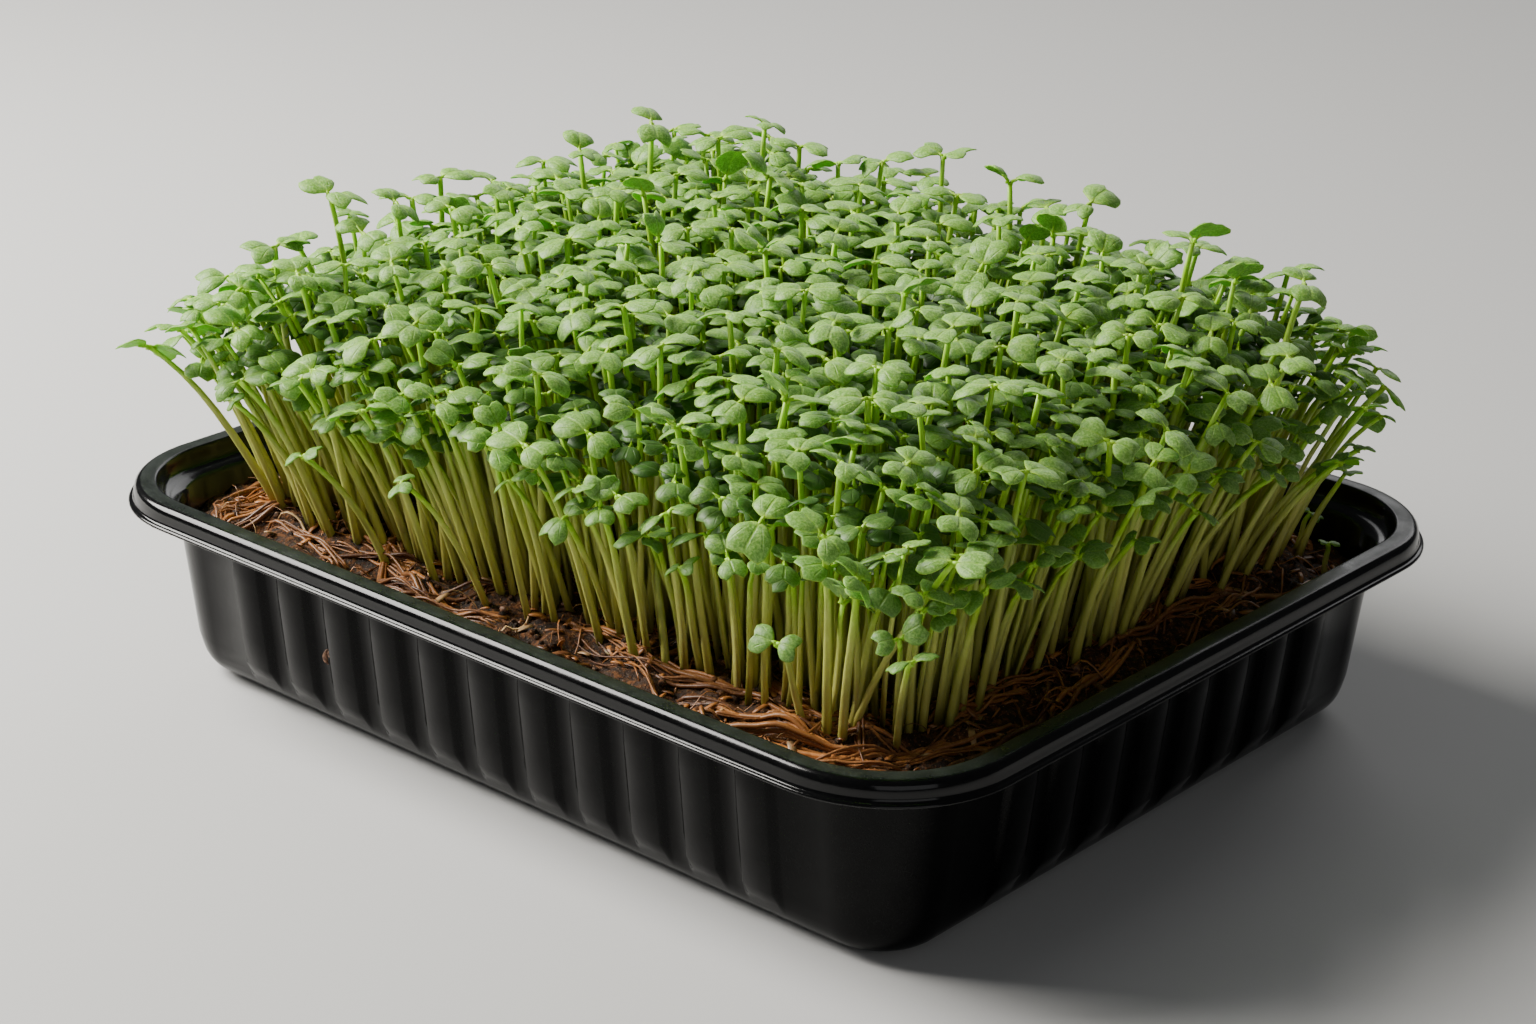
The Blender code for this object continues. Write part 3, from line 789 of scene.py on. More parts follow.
def bed_spot(draw, inner=0.0):
    """A random spot on the bed, at least that share of the way out to the outermost clumps."""
    while True:
        x, y = (draw.uniform(-reach, reach) for reach in SPOT_REACH)
        if bed_share(x, y) < 1 and edge_share(x, y, FOOT_REACH) > inner:
            return x, y


def scatter(name, seed, finishes, *kinds):
    """A piece of loose bits. A kind is its number and spread, and the function that adds one of them."""
    draw = random.Random(SEED + seed)
    shape = Shape()
    for (count, margin_share, inner), add_bit in kinds:
        for _ in range(count):
            on_margin = margin_share == 1 or draw.random() < margin_share
            add_bit(shape, *bed_spot(draw, inner if on_margin else 0.0), draw)
    return shape.build(name, *finishes)


def along_wall(x, y, draw):
    """A heading that roughly follows the nearest wall, one way or the other."""
    beside_long_wall = abs(y) / BED_EDGE[1] > abs(x) / BED_EDGE[0]
    heading = 0.0 if beside_long_wall else math.pi / 2
    return heading + draw.choice((0, math.pi)) + draw.gauss(0, BUNDLE_STRAY)


def wander(x, y, heading, length, curl, step, draw):
    """A flat curling path that turns back before the tray's wall."""
    path = [(x, y)]
    bend = draw.gauss(0, curl)
    for _ in range(max(3, round(length / step))):
        bend = BEND_KEPT * bend + draw.gauss(0, curl * NEW_BEND)
        heading += bend * step
        ahead = LOOK_AHEAD * step
        if bed_share(x + ahead * math.cos(heading), y + ahead * math.sin(heading), TURNING_EDGE) > 1:
            inward = math.atan2(-y, -x)
            heading += TURN_BACK * math.sin(inward - heading)
        x += step * math.cos(heading)
        y += step * math.sin(heading)
        if bed_share(x, y, FIBRE_EDGE) > 1:
            break
        path.append((x, y))
    return path


def lay_fibre(shape, path, radius, sides, lift, draw, tone, pale):
    """One fibre along a flat path, resting on the bed and arching off it here and there."""
    count = len(path)
    if count < 4:
        return
    phase = draw.uniform(0, 2 * math.pi)
    waves = draw.uniform(0.7, 2.2)
    places = []
    for i, (x, y) in enumerate(path):
        t = i / (count - 1)
        arch = lift * max(0.0, math.sin(waves * math.pi * t + phase)) * math.sin(math.pi * t) ** 0.5
        places.append((x, y, bed_height(x, y) + 0.6 * radius + arch))
    places = np.array(places)
    smooth = places.copy()
    smooth[1:-1, 2] = 0.25 * places[:-2, 2] + 0.5 * places[1:-1, 2] + 0.25 * places[2:, 2]
    smooth[1:-1, 2] = np.maximum(smooth[1:-1, 2], places[1:-1, 2] - FIBRE_SAG)
    smooth[0, 2] -= FIBRE_ENDS_SUNK
    smooth[-1, 2] -= FIBRE_ENDS_SUNK * draw.random()
    t = np.linspace(0, 1, count)
    radii = radius * (0.35 + 0.65 * np.sin(np.pi * np.clip(0.12 + 0.80 * t, 0, 1)) ** 0.5)
    shape.add(*tube(smooth, radii, sides), (tone, 0, pale))


def add_bundle(shape, x, y, draw):
    """Strands of coir that run together, mostly along the nearest wall, and part at their far end."""
    heading = along_wall(x, y, draw)
    main = wander(x, y, heading, draw.uniform(*BUNDLE_LENGTH), *BUNDLE_CURL, draw)
    tone = draw.betavariate(1.5, 1.5)
    lift = draw.uniform(*BUNDLE_LIFT)
    for _ in range(draw.choice(STRANDS)):
        offset = draw.gauss(0, STRAND_SPACING)
        part = draw.gauss(0, STRAND_PARTING)
        path = []
        for i, (x, y) in enumerate(main):
            aside = offset + part * max(0.0, i / max(1, len(main) - 1) - PARTING_FROM) * 2.2
            path.append((x - math.sin(heading) * aside, y + math.cos(heading) * aside))
        path = [spot for spot in path if bed_share(*spot, FIBRE_EDGE) < 1]
        radius = STRAND_RADIUS[0] + STRAND_RADIUS[1] * draw.random() ** 2
        own_tone = held(tone + draw.gauss(0, 0.12))
        lay_fibre(shape, path, radius, 4, lift * draw.uniform(0.6, 1.5), draw, own_tone, 0.0)


def add_fibre(shape, x, y, draw):
    """A single curly fibre."""
    heading = draw.uniform(0, 2 * math.pi)
    path = wander(x, y, heading, draw.uniform(*FIBRE_LENGTH), *FIBRE_CURL, draw)
    pale = 0.8 if draw.random() < 0.07 else 0.0
    lift = draw.uniform(*FIBRE_LIFT)
    radius = draw.uniform(*FIBRE_RADIUS)
    lay_fibre(shape, path, radius, 3, lift, draw, draw.betavariate(1.6, 1.9), pale)


def add_hair(shape, x, y, draw):
    """A thin hair that stands up from the bed."""
    heading = draw.uniform(0, 2 * math.pi)
    length = draw.uniform(*HAIR_LENGTH)
    stand = draw.uniform(*HAIR_STAND)
    t = np.linspace(0, 1, HAIR_POINTS)
    out = length * (t * 0.8 + 0.2 * np.sin(3 * t + heading))
    flat = np.column_stack([x + out * math.cos(heading), y + out * math.sin(heading)])
    if bed_share(*flat[-1], HAIR_EDGE) > 1:
        return
    height = bed_height(x, y) - HAIR_SUNK + length * stand * np.sin(1.9 * t)
    radii = np.linspace(*HAIR_RADII, HAIR_POINTS)
    growth = (draw.random(), 0, 0.75 if draw.random() < 0.2 else 0.1)
    shape.add(*tube(np.column_stack([flat, height]), radii, 3), growth)


def add_flake(shape, x, y, draw):
    """A small bent chip of pith lying on the bed."""
    length = draw.uniform(*FLAKE_LENGTH)
    width = length * draw.uniform(*FLAKE_WIDTH)
    heading = draw.uniform(0, 2 * math.pi)
    along = np.array([math.cos(heading), math.sin(heading)])
    across = np.array([-along[1], along[0]])
    pitch = draw.gauss(0, FLAKE_PITCH)
    points = []
    for layer in (0, 1):
        for u in (-1, -0.3, 0.4, 1):
            for v in (-1, 1):
                narrow = 1 - 0.45 * abs(u) + draw.uniform(-0.12, 0.12)
                flat = np.array([x, y]) + along * u * length / 2 + across * v * width / 2 * narrow
                rise = 0.5 * length * pitch * u + FLAKE_BEND * (1 - u * u) + FLAKE_THICKNESS * layer
                points.append((*flat, bed_height(x, y) + FLAKE_LIFT + rise))
    faces = [(0, 8, 9, 1), (6, 7, 15, 14)]
    for a in (0, 2, 4):
        faces.append((a, a + 1, a + 3, a + 2))
        faces.append((a + 8, a + 10, a + 11, a + 9))
        faces.append((a, a + 2, a + 10, a + 8))
        faces.append((a + 1, a + 9, a + 11, a + 3))
    growth = (draw.betavariate(1.6, 2.0), 0, 0.5 if draw.random() < 0.06 else 0.0)
    shape.add(points, [np.array(faces)], growth)


def add_lump(shape, x, y, draw, radii, rise, sides, finish):
    """A small uneven grain, whose middle is that share of its radius above the bed."""
    radius = draw.uniform(*radii)
    z = bed_height(x, y) + rise * radius
    points = []
    for ring in range(1, 4):
        tilt = math.pi * ring / 4
        for i in range(sides):
            angle = 2 * math.pi * (i + 0.5 * (ring % 2)) / sides
            reach = radius * draw.uniform(*LUMP_SPREAD)
            flat = reach * math.sin(tilt)
            up = LUMP_FLATNESS * reach * math.cos(tilt)
            points.append((x + flat * math.cos(angle), y + flat * math.sin(angle), z + up))
    points += [(x, y, z + LUMP_FLATNESS * radius), (x, y, z - LUMP_FLATNESS * radius)]
    shape.add(points, ringed_faces(3, sides), finish=finish)


def add_crumb(shape, x, y, draw):
    """A grain of pith."""
    add_lump(shape, x, y, draw, CRUMB_RADIUS, 0.3, 6, 1)


def add_husk(shape, x, y, draw):
    """An empty seed coat."""
    add_lump(shape, x, y, draw, HUSK_RADIUS, 0.6, 9, 0)


# Seedlings, placed as in the CAD part


def clump_spots(reach):
    """Offset rows of clumps over a rounded oblong of that half length and half width."""
    spots = []
    for row in range(CLUMP_ROWS):
        for column in range(CLUMP_COLUMNS):
            u = 2 * (column + 0.5 * (row % 2)) / (CLUMP_COLUMNS - 0.5) - 1
            v = 2 * row / (CLUMP_ROWS - 1) - 1
            share = 1 / max(1.0, edge_share(u, v, (1, 1)))
            spots.append(Vector((u * share * reach[0], v * share * reach[1])))
    return spots


def nearest(places, spot):
    """The number of the place that is nearest to a spot in the plan."""
    return min(range(len(places)), key=lambda n: (places[n].xy - spot).length)


def stem_tops(draw):
    """The top of every CAD stem: a loose net in three layers that droops at its edge, and the strays."""
    rows = math.ceil(CANOPY_REACH[1] / (NET_PITCH * math.sqrt(0.75)))
    columns = math.ceil(CANOPY_REACH[0] / NET_PITCH) + 1
    tops = []
    for row in range(-rows, rows + 1):
        for column in range(-columns, columns + 1):
            x = (column + 0.5 * (row % 2)) * NET_PITCH + draw.uniform(-1, 1) * TOP_SHIFT
            y = row * NET_PITCH * math.sqrt(0.75) + draw.uniform(-1, 1) * TOP_SHIFT
            edge = edge_share(x, y, CANOPY_REACH, CANOPY_POWER)
            if edge > 1:
                continue
            layer = (column - row // 2 - row) % 3 - 1
            height = CANOPY_HEIGHT - draw.uniform(*CANOPY_DROOP) * edge**7 + LAYER_STEP * layer
            if draw.random() < TALL_SHARE:
                height += draw.uniform(*TALL_RISE)
            tops.append(Vector((x, y, height)))
    for place in STRAYS:
        tops[nearest(tops, Vector(place[:2]))] = Vector(place)
    return tops


def gathered(top, foot, head, gather, limit):
    """The spot where a stem rises, near its clump's foot, for a top that stands off the clump's head."""
    offset = (top.xy - head) * gather
    if offset.length > limit:
        offset *= limit / offset.length
    return foot + offset


def leaning(foot, top):
    """The heading in which a stem leans, and its angle off upright."""
    way = top - foot
    return math.atan2(way.y, way.x), math.atan2(way.xy.length, way.z)


def leaf_place(seedling):
    """The matrix that sets a pair of leaves on its stem."""
    tilt_axis = Vector((-math.sin(seedling["tilt_to"]), math.cos(seedling["tilt_to"]), 0))
    tilt = Matrix.Rotation(seedling["tilt"], 4, tilt_axis)
    return Matrix.Translation(seedling["top"]) @ tilt @ Matrix.Rotation(seedling["turn"], 4, "Z")


def leaf_pair_points(seedling):
    """The outline of each of the two seed leaves, and the crown of each, round the stem's top."""
    size = seedling["size"]
    half = [Vector((x * size, y * size, 0)) for x, y in LEAF_OUTLINE]
    half += [Vector((p.x, -p.y, 0)) for p in (half[1], half[0])]
    outer = [Vector((0, -LEAF_WAIST, 0))] + [Vector((p.x, -p.y, 0)) for p in half]
    inner = [Vector((0, LEAF_WAIST, 0))] + [Vector((-p.x, p.y, 0)) * SMALL_LEAF for p in half]
    crowns = [Vector((LEAF_MIDDLE * size, 0, LEAF_CROWN))]
    crowns.append(Vector((-LEAF_MIDDLE * size * SMALL_LEAF, 0, LEAF_CROWN)))
    for point in outer + inner:
        point.z -= LEAF_HANG * (point.x / LEAF_OUTLINE[1][0]) ** 2
    place = leaf_place(seedling)
    return [place @ p for p in outer], [place @ p for p in inner], [place @ p for p in crowns]


def join_turns(bm, lower, upper):
    """A band of triangles between two closed turns of (position, vertex) pairs."""
    i = j = 0
    while i < len(lower) or j < len(upper):
        a = lower[i % len(lower)][1]
        b = upper[j % len(upper)][1]
        next_low = lower[i + 1][0] if i + 1 < len(lower) else 4.0 + 5.0 * (i >= len(lower))
        next_up = upper[j + 1][0] if j + 1 < len(upper) else 4.0 + 5.0 * (j >= len(upper))
        if next_low <= next_up:
            i += 1
            bm.faces.new((a, b, lower[i % len(lower)][1]))
        else:
            j += 1
            bm.faces.new((a, b, upper[j % len(upper)][1]))


def stem_ring(bm, centre, radius, turn):
    ring = []
    for i in range(STEM_SIDES):
        angle = turn + 2 * math.pi * (i + 0.25) / STEM_SIDES
        ring.append(bm.verts.new(centre + Vector((math.cos(angle), math.sin(angle), 0)) * radius))
    return ring


def by_bearing(loop, middle, turn):
    """The vertices of a loop as one turn from the leaves' own X axis, with positions from 0 to 4."""
    pairs = []
    for vertex in loop:
        bearing = math.atan2(vertex.co.y - middle.y, vertex.co.x - middle.x) - turn
        pairs.append((4 * (bearing / (2 * math.pi) % 1), vertex))
    start = min(range(len(pairs)), key=lambda n: pairs[n][0])
    return pairs[start:] + pairs[:start]


def simple_seedling(seedling):
    """The CAD form of one seedling, which shows whether it crosses another."""
    foot, top, turn = seedling["foot"], seedling["top"], seedling["turn"]
    bend = foot.lerp(top, 0.5) + Vector((0, 0, STEM_BOW))
    bm = bmesh.new()
    rings = [
        stem_ring(bm, foot - Vector((0, 0, STEM_SUNK)), STEM_FOOT_RADIUS, turn),
        stem_ring(bm, bend, (STEM_FOOT_RADIUS + STEM_TOP_RADIUS) / 2, turn),
        stem_ring(bm, top - Vector((0, 0, LEAF_ROOT)), STEM_TOP_RADIUS, turn),
    ]
    for lower, upper in zip(rings, rings[1:]):
        for i in range(STEM_SIDES):
            j = (i + 1) % STEM_SIDES
            bm.faces.new((lower[i], lower[j], upper[j], upper[i]))
    bm.faces.new(rings[0])
    outer, inner, crowns = leaf_pair_points(seedling)
    outer = [bm.verts.new(p) for p in outer]
    inner = [bm.verts.new(p) for p in inner]
    for leaf, waist, crown in ((outer, inner[0], crowns[0]), (inner, outer[0], crowns[1])):
        peak = bm.verts.new(crown)
        edge = leaf + [waist]
        for a, b in zip(edge, edge[1:] + edge[:1]):
            bm.faces.new((a, b, peak))
    join_turns(bm, by_bearing(rings[-1], top, turn), by_bearing(outer + inner, top, turn))
    tree = BVHTree.FromBMesh(bm)
    bm.free()
    return tree


def leaves_alone(seedling):
    """The CAD form of one seedling's leaves without their stem."""
    outer, inner, crowns = leaf_pair_points(seedling)
    points = outer + inner + crowns
    faces = []
    for first, crown in ((0, len(points) - 2), (len(outer), len(points) - 1)):
        corners = list(range(first, first + len(outer)))
        faces += [(a, b, crown) for a, b in zip(corners, corners[1:] + corners[:1])]
    return BVHTree.FromPolygons(points, faces)


def crosses(seedling, placed, part="shape", own_clump=True):
    """Whether it crosses a placed seedling, counting those of its own clump or not."""
    for other in placed:
        if other["clump"] == seedling["clump"] and not own_clump:
            continue
        if (other["top"] - seedling["top"]).length > CLEAR_TOPS:
            continue
        if seedling[part].overlap(other[part]):
            return True
    return False


def cad_seedlings():
    """Every CAD seedling's clump, foot, top, leaf size, turn and tilt, clear of the other clumps."""
    draw = random.Random(SEED)
    feet = clump_spots(FOOT_REACH)
    heads = clump_spots(HEAD_REACH)
    placed = []
    for top in stem_tops(draw):
        clump = nearest(heads, top.xy)
        spot = gathered(top, feet[clump], heads[clump], *FOOT_GATHER)
        foot = Vector((*spot, soil_height(*feet[clump]) - PLUG_SUNK))
        outward, lean = leaning(foot, top)
        for attempt in range(TRIES):
            calm = 1 - attempt / TRIES
            seedling = {
                "clump": clump,
                "foot": foot,
                "top": top + Vector((0, 0, draw.uniform(-1, 1) * TOP_LIFT)),
                "turn": draw.uniform(0, 2 * math.pi),
                "tilt_to": outward + draw.uniform(-TILT_TURN, TILT_TURN) * calm,
                "tilt": (TILT_LEAN * lean + draw.uniform(*TILT)) * calm,
                "size": draw.uniform(*LEAF_SIZES) * (1 - LEAF_SHRINK * (1 - calm)),
            }
            seedling["shape"] = simple_seedling(seedling)
            if not crosses(seedling, placed, own_clump=False):
                break
        placed.append(seedling)
    return placed


# Seedlings, finer: their places


def canopy_height(edge):
    """The height of the canopy at that share of the way to its edge."""
    return CANOPY_HEIGHT - CANOPY_FALL * min(1.0, edge) ** 7


def settle(plant, placed, draw):
    """Turns and tilts a plant until it crosses none that is placed, and says whether it found room."""
    outward, lean = leaning(plant["foot"], plant["top"])
    nearby = [other for other in placed if (other["top"] - plant["top"]).length < NEARBY_TOPS]
    start = plant["top"].copy()
    part, form = ("blades", leaves_alone) if plant["hidden"] else ("shape", simple_seedling)
    for attempt in range(FILLER_TRIES):
        calm = 1 - attempt / FILLER_TRIES
        plant["top"] = start + Vector([draw.uniform(-1, 1) * FILLER_TOP_SHIFT for _ in range(3)])
        plant["turn"] = draw.uniform(0, 2 * math.pi)
        plant["tilt_to"] = outward + draw.uniform(-FILLER_TILT_TURN, FILLER_TILT_TURN)
        plant["tilt"] = FILLER_TILT_LEAN * lean + draw.uniform(*FILLER_TILT) * calm
        plant[part] = form(plant)
        if not crosses(plant, nearby, part):
            plant["blades"] = leaves_alone(plant)
            return True
    return False


def untangled(seedlings, draw):
    """The CAD's seedlings with their feet less gathered, and those turned that crossed their neighbours."""
    feet = clump_spots(FOOT_REACH)
    heads = clump_spots(HEAD_REACH)
    placed = []
    for seedling in seedlings:
        clump = seedling["clump"]
        spot = gathered(seedling["top"], feet[clump], heads[clump], *FINE_GATHER)
        seedling["foot"] = Vector((*spot, seedling["foot"].z))
        seedling["shape"] = simple_seedling(seedling)
        seedling["hidden"] = False
        if crosses(seedling, placed):
            settle(seedling, placed, draw)
        seedling["blades"] = leaves_alone(seedling)
        placed.append(seedling)
    return placed


def wanted_fillers(draw):
    """The top, leaf size, kind and foot of each plant that is wanted between and under the CAD's."""
    ratio = (FILLER_FEET[0] / CANOPY_REACH[0], FILLER_FEET[1] / CANOPY_REACH[1])
    wanted = [(Vector(late[:3]), late[3], False, Vector(late[4:])) for late in LATE_PLANTS]
    for pitch, depths, sizes, inner, hidden in FILLER_LAYERS:
        rows = math.ceil(CANOPY_REACH[1] / pitch)
        columns = math.ceil(CANOPY_REACH[0] / pitch)
        for row in range(-rows, rows + 1):
            for column in range(-columns, columns + 1):
                x = (column + 0.5 * (row % 2) + draw.uniform(-FILLER_SHIFT, FILLER_SHIFT)) * pitch
                y = (row + draw.uniform(-FILLER_SHIFT, FILLER_SHIFT)) * pitch
                edge = edge_share(x, y, CANOPY_REACH, CANOPY_POWER)
                if inner < edge < FILLER_EDGES[hidden]:
                    height = canopy_height(edge) - draw.uniform(*depths)
                    foot = Vector((x * ratio[0], y * ratio[1]))
                    foot += Vector((draw.uniform(-1, 1), draw.uniform(-1, 1))) * FILLER_FOOT_SHIFT
                    foot /= max(1.0, edge_share(*foot, FILLER_FEET))
                    wanted.append((Vector((x, y, height)), draw.uniform(*sizes), hidden, foot))
    return wanted


def fillers(placed, draw):
    """More plants, wherever one finds room."""
    centres = clump_spots(FOOT_REACH)
    found = []
    for top, size, hidden, spot in wanted_fillers(draw):
        plant = {
            "clump": nearest(centres, spot),
            "foot": Vector((*spot, soil_height(*spot) - PLUG_SUNK)),
            "top": top,
            "size": size,
            "hidden": hidden,
        }
        others = [other for other in placed + found if hidden or not other["hidden"]]
        if settle(plant, others, draw):
            found.append(plant)
    return found


# Seedlings, finer: their forms


def leaf_grid(kind):
    """A fine leaf's rings and angles, with the middles of its top and underside last, and its faces."""
    steps = LEAF_STEPS[kind]
    rings = LEAF_RINGS[kind] + UNDERSIDE_RINGS[kind]
    layers = [0.0] * len(LEAF_RINGS[kind]) + [1.0] * len(UNDERSIDE_RINGS[kind])
    angles = np.tile(2 * np.pi * np.arange(steps) / steps, len(rings))
    return {
        "reach": np.append(np.repeat(rings, steps), (0.0, 0.0)),
        "bearing": np.append(angles, (0.0, 0.0)),
        "under": np.append(np.repeat(layers, steps), (0.0, 1.0)),
        "faces": ringed_faces(len(rings), steps),
        "root": steps * (len(LEAF_RINGS[kind]) - 2) + steps // 2,
    }


def wrap(angle):
    return (angle + np.pi) % (2 * np.pi) - np.pi


def bump(distance, width):
    """A bell-shaped rise, 1 in its middle."""
    return np.exp(-((distance / width) ** 2))


def varied(base, low, high, draw):
    """A base value times a random share between low and high."""
    return base * draw.uniform(low, high)


def fine_leaf(grid, size, draw):
    """One seed leaf along +X from the stem's top: its points, and its own coordinates for the veins."""
    reach, bearing, under = grid["reach"], grid["bearing"], grid["under"]
    length = varied(BLADE_LENGTH[0] * size, *BLADE_LENGTH[1:], draw)
    width = varied(BLADE_WIDTH[0] * size, *BLADE_WIDTH[1:], draw)
    turned = wrap(bearing)
    notch = draw.choice(NOTCHES) + draw.uniform(-NOTCH_SHIFT, NOTCH_SHIFT)
    lobe = 1 - notch * bump(turned, NOTCH_WIDTH)
    lobe += BASE_RISE[0] * bump(wrap(bearing - np.pi), BASE_RISE[1])
    lobe += SHOULDER_RISE[0] * bump(np.abs(turned) - SHOULDER_RISE[1], SHOULDER_RISE[2])
    lobe += SKEW * np.cos(2 * turned + 2.1) * np.sign(turned) * draw.uniform(-1, 1)
    middle = LEAF_MIDDLE * size
    x = middle + length * reach * lobe * np.cos(bearing)
    y = width * reach * lobe * np.sin(bearing)
    z = varied(LEAF_CUP[0] * size, *LEAF_CUP[1:], draw) * (1 - (reach * lobe) ** 2)
    z -= BLADE_HANG * (x / LEAF_OUTLINE[1][0]) ** 2
    z -= varied(LEAF_DROOP[0] * size, *LEAF_DROOP[1:], draw) * np.abs(y / width) ** 2.4
    z -= GROOVE[0] * size * bump(y, GROOVE[1] * size) * np.clip(1.25 - 0.8 * reach, 0, 1)
    for power, (height, waves) in enumerate(RIPPLES, 2):
        z += height * size * reach**power * np.sin(waves * bearing + draw.uniform(0, 6.3))
    z -= LEAF_THICKNESS * (1 - 0.35 * reach) * (under + 0.4 * (reach >= 1.0))
    fold = draw.uniform(*LEAF_FOLD)
    z += x * fold + y * draw.gauss(0, LEAF_TWIST)
    own = np.column_stack([(x - middle + 1.16 * length) / (2.1 * length), y / width, reach])
    return np.column_stack([x, y, z]), own


def tipped(points, angle):
    """Points turned up about the Y axis by an angle."""
    flat, up = math.cos(angle), math.sin(angle)
    return points @ np.array([(flat, 0, up), (0, 1, 0), (-up, 0, flat)])


def leaf_with_stalk(plant, scale, lifted, grid, draw):
    """One leaf along +X, its own coordinates, and its stalk, both tipped up if it is lifted."""
    size = plant["size"]
    leaf, own = fine_leaf(grid, size * scale, draw)
    root = leaf[grid["root"]]
    stalk = np.array([
        (0, 0, -0.0011),
        (0.35 * root[0], 0, -0.0004),
        (root[0], 0, root[2] - 0.00012),
        (root[0] + 0.0012 * size, 0, leaf[-2][2] - 0.00042),
    ])
    if lifted:
        room = (LEAF_CEILING - plant["top"].z) / (LEAF_SPAN * size)
        lift = min(draw.uniform(*LEAF_LIFT), math.asin(held(room)))
        leaf, stalk = tipped(leaf, lift), tipped(stalk, lift)
    radii = np.array(STALK_RADII) * (0.7 + 0.3 * size)
    return leaf, own, tube(stalk, radii, STALK_SIDES[plant["hidden"]])


def stem_line(plant, draw):
    """The stem's centreline, bowed as the CAD's is, with a slight sway."""
    foot = np.array(plant["foot"]) - (0, 0, STEM_SUNK)
    top = np.array(plant["top"]) - (0, 0, 0.0005)
    bow = min(STEM_BOW, 0.12 * np.linalg.norm(top - foot))
    control = (foot + top) / 2 + (0, 0, 2 * bow)
    t = np.linspace(0, 1, STEM_RINGS[plant["hidden"]])[:, None]
    line = (1 - t) ** 2 * foot + 2 * t * (1 - t) * control + t * t * top
    for waves in (1, 2):
        way = draw.uniform(0, 2 * math.pi)
        size = draw.uniform(0.2, 1.0) * STEM_SWAY / waves
        line += size * np.sin(waves * np.pi * t) * np.array([math.cos(way), math.sin(way), 0])
    return line


def add_stem(shape, plant, tone, draw):
    """The stem, whose points know how far up it they are."""
    foot_radius, top_radius = (draw.uniform(*radii) * (0.75 + 0.25 * plant["size"]) for radii in STEM_RADII)
    line = stem_line(plant, draw)
    t = np.linspace(0, 1, len(line))
    radii = foot_radius + (top_radius - foot_radius) * t**0.8
    sides = FINE_STEM_SIDES[plant["hidden"]]
    points, faces = tube(line, radii, sides, draw.uniform(0, 6.3))
    rise = np.concatenate([np.repeat(t, sides), [0.0, 1.0]])
    growth = np.column_stack([np.full(len(rise), tone), rise, np.zeros(len(rise))])
    shape.add(points, faces, growth, finish=1)


def painted_light_at(top):
    """The share of painted light on the leaves at a stem's top, kept for their colour: little deep in the
    stand (painted shade), more at its edge.
    """
    edge = edge_share(top.x, top.y, CANOPY_REACH)
    from_above = held(1 - (canopy_height(edge) - top.z - LIT_DEPTH) / SHADE_DEPTH)
    from_aside = max(0.0, (edge - EDGE_LIGHT_FROM) / (1 - EDGE_LIGHT_FROM))
    return max(from_above, min(EDGE_LIGHT_MOST, from_aside))


def add_plant(shape, plant, grids, draw):
    """One seedling: its stem, two leaf stalks and two leaves."""
    grid = grids[plant["hidden"]]
    tone = held(draw.gauss(0.5, 0.22))
    # painted light: this share of light is stored with the leaves and darkens their colour as painted shade
    light = painted_light_at(plant["top"])
    add_stem(shape, plant, tone, draw)
    place = np.array(leaf_place(plant))
    chance = LIFTED_LEAVES[plant["top"].z > LIFTED_FROM]
    lifted = draw.choice((1, -1)) if draw.random() < chance else 0
    for way, scale in ((1, 1.0), (-1, SMALL_LEAF)):
        leaf, own, (stalk, stalk_faces) = leaf_with_stalk(plant, scale, way == lifted, grid, draw)
        leaf, stalk = (part * (way, way, 1) @ place[:3, :3].T + place[:3, 3] for part in (leaf, stalk))
        side = 1 - grid["under"] * (LIFTED_UNDERSIDE if way == lifted else 1.0)
        growth = np.column_stack([np.full(len(side), tone), np.full(len(side), light), side])
        shape.add(leaf, grid["faces"], growth, own)
        shape.add(stalk, stalk_faces, (tone, STALK_RISE, 0), finish=1)


def add_plug(shape, centre):
    """The knot of roots under a clump, hidden in the bed."""
    level = soil_height(*centre) - PLUG_SUNK
    path = np.linspace((*centre, level - PLUG_DEPTH), (*centre, level - PLUG_HIDDEN), PLUG_RINGS)
    radii = PLUG_RADIUS * np.linspace(PLUG_TAPER, 1, PLUG_RINGS)
    shape.add(*tube(path, radii, PLUG_SIDES), (0.2, 0.0, 0.0), finish=1)


def fine_seedlings(leaf_finish, stem_finish):
    """One piece for each clump, with the clump's own plants and the fillers that stand nearest to it."""
    draw = random.Random(SEED + 6)
    plants = untangled(cad_seedlings(), draw)
    plants += fillers(plants, draw)
    grids = (leaf_grid(0), leaf_grid(1))
    pieces = []
    for clump, centre in enumerate(clump_spots(FOOT_REACH)):
        shape = Shape()
        add_plug(shape, centre)
        for plant in plants:
            if plant["clump"] == clump:
                add_plant(shape, plant, grids, draw)
        made = shape.build(f"plants_{clump + 1:02d}", leaf_finish, stem_finish)
        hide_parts(f"seedlings_{clump + 1:02d}")
        pieces.append(made)
    return pieces


# Studio


def looking(place, target):
    """The rotation that turns a light or a camera at that place towards its target."""
    return (Vector(target) - Vector(place)).to_track_quat("-Z", "Y")


def studio_floor():
    """A plain pale floor under the tray."""
    finish = bpy.data.materials.new("studio_floor")
    finish.use_nodes = True
    shader = finish.node_tree.nodes["Principled BSDF"]
    shader.inputs["Base Color"].default_value = (*FLOOR_COLOUR, 1.0)
    shader.inputs["Roughness"].default_value = 0.9
    mesh = bpy.data.meshes.new("studio_floor")
    corners = ((-1, -1), (1, -1), (1, 1), (-1, 1))
    mesh.from_pydata([(x * FLOOR_REACH, y * FLOOR_REACH, FLOOR_LEVEL) for x, y in corners], [], [range(4)])
    mesh.materials.append(finish)
    floor = put_in_scene("studio_floor", mesh)


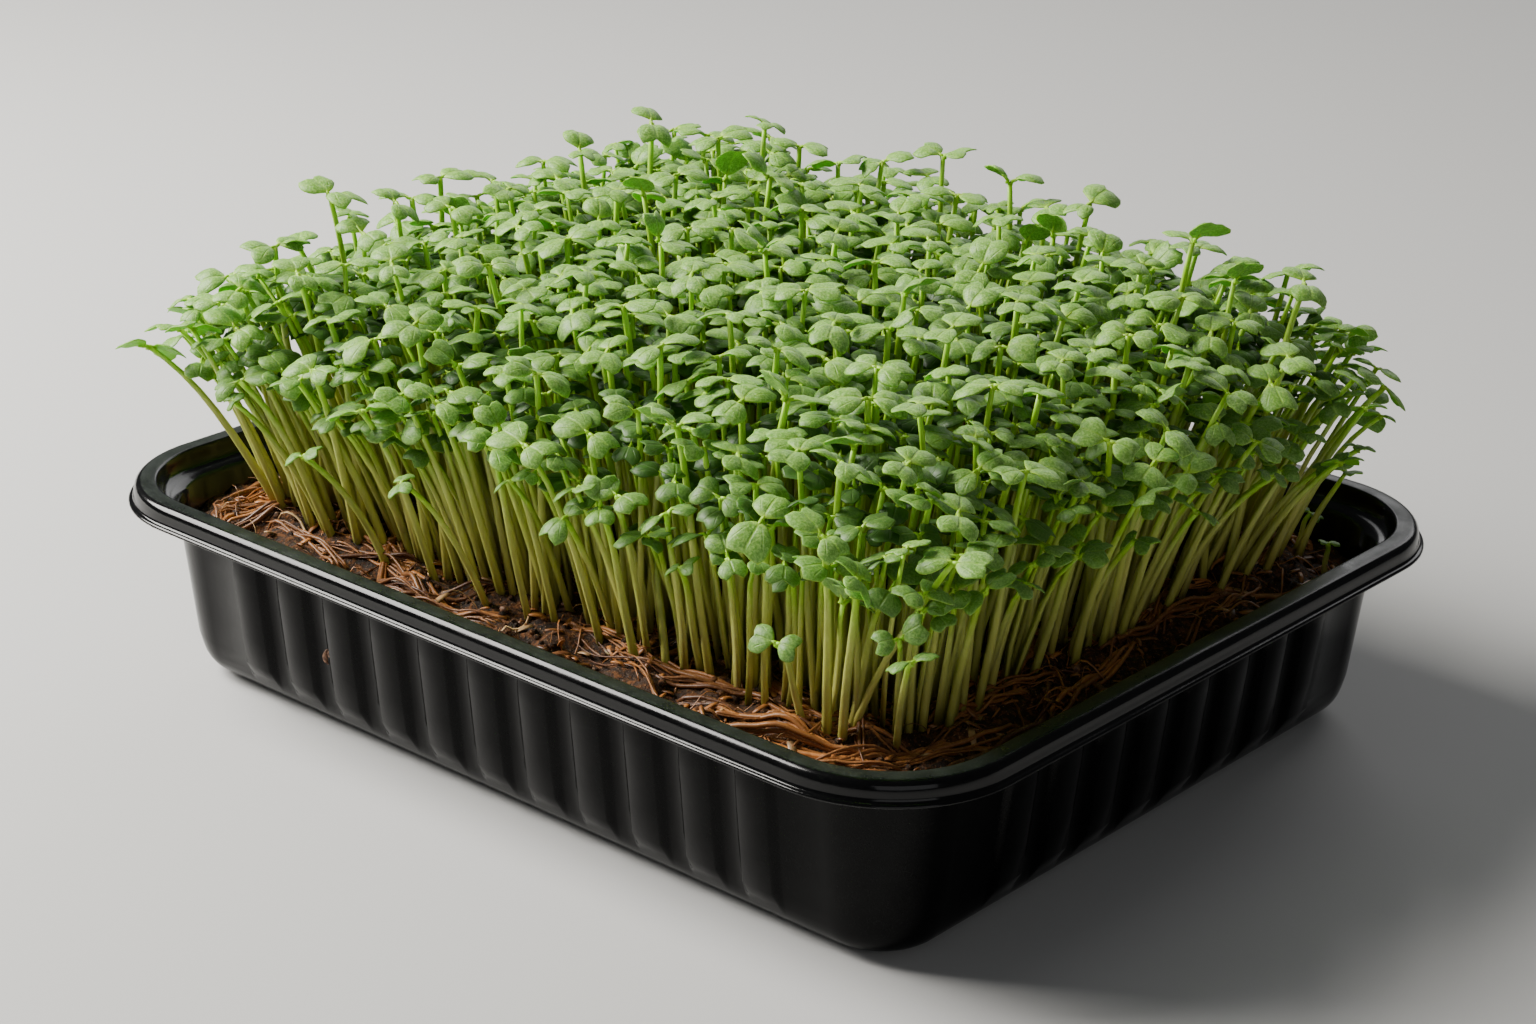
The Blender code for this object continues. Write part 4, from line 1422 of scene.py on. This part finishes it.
def studio_lights():
    """A large soft key from the left, a broad one from behind, a weak fill, and a dim even sky."""
    world = bpy.data.worlds.new("studio")
    world.use_nodes = True
    background = world.node_tree.nodes["Background"]
    background.inputs["Color"].default_value = (*SKY_COLOUR, 1.0)
    background.inputs["Strength"].default_value = SKY_STRENGTH
    bpy.context.scene.world = world
    for name, place, size, power, colour in LIGHTS:
        data = bpy.data.lights.new(name, "AREA")
        data.shape = "RECTANGLE"
        data.size, data.size_y = size
        data.energy = power
        data.color = colour
        made = put_in_scene(name, data)
        made.location = place
        made.rotation_euler = looking(place, LIT_POINT).to_euler()


def studio_camera():
    """The camera, at the photograph's viewing angle."""
    data = bpy.data.cameras.new("camera")
    data.lens = CAMERA_LENS
    data.sensor_width = CAMERA_SENSOR
    data.sensor_fit = "HORIZONTAL"
    data.clip_start, data.clip_end = CAMERA_CLIP
    camera = put_in_scene("camera", data)
    aim = looking(CAMERA_PLACE, CAMERA_TARGET).to_matrix().to_4x4()
    roll = Matrix.Rotation(math.radians(CAMERA_ROLL), 4, "Z")
    camera.matrix_world = Matrix.Translation(CAMERA_PLACE) @ aim @ roll
    bpy.context.scene.camera = camera


def main():
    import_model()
    studio_floor()
    studio_lights()
    studio_camera()
    bed = bed_material()
    fibre = fibre_material()
    husk = husk_material()
    plastics = [plastic_material(name, specular) for name, specular in TRAY_PLASTICS]
    tray = fine_tray(*plastics)
    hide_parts("tray")
    substrate = coir_bed(bed)
    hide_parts("substrate")
    coir = [
        substrate,
        scatter("coir_bundles", 2, [fibre], (BUNDLES, add_bundle)),
        scatter("coir_fibres", 3, [fibre], (FIBRES, add_fibre), (HAIRS, add_hair)),
        scatter("coir_crumbs", 4, [fibre, bed], (FLAKES, add_flake), (CRUMBS, add_crumb)),
        scatter("seed_husks", 5, [husk], (HUSKS, add_husk)),
        wall_husk(husk),
    ]
    plants = fine_seedlings(leaf_material(), stem_material())
    for pieces, slot in (([tray], "tray_plastic"), (coir, "coir"), (plants, "seedling")):
        for piece in pieces:
            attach(piece, "root")
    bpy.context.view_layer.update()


main()
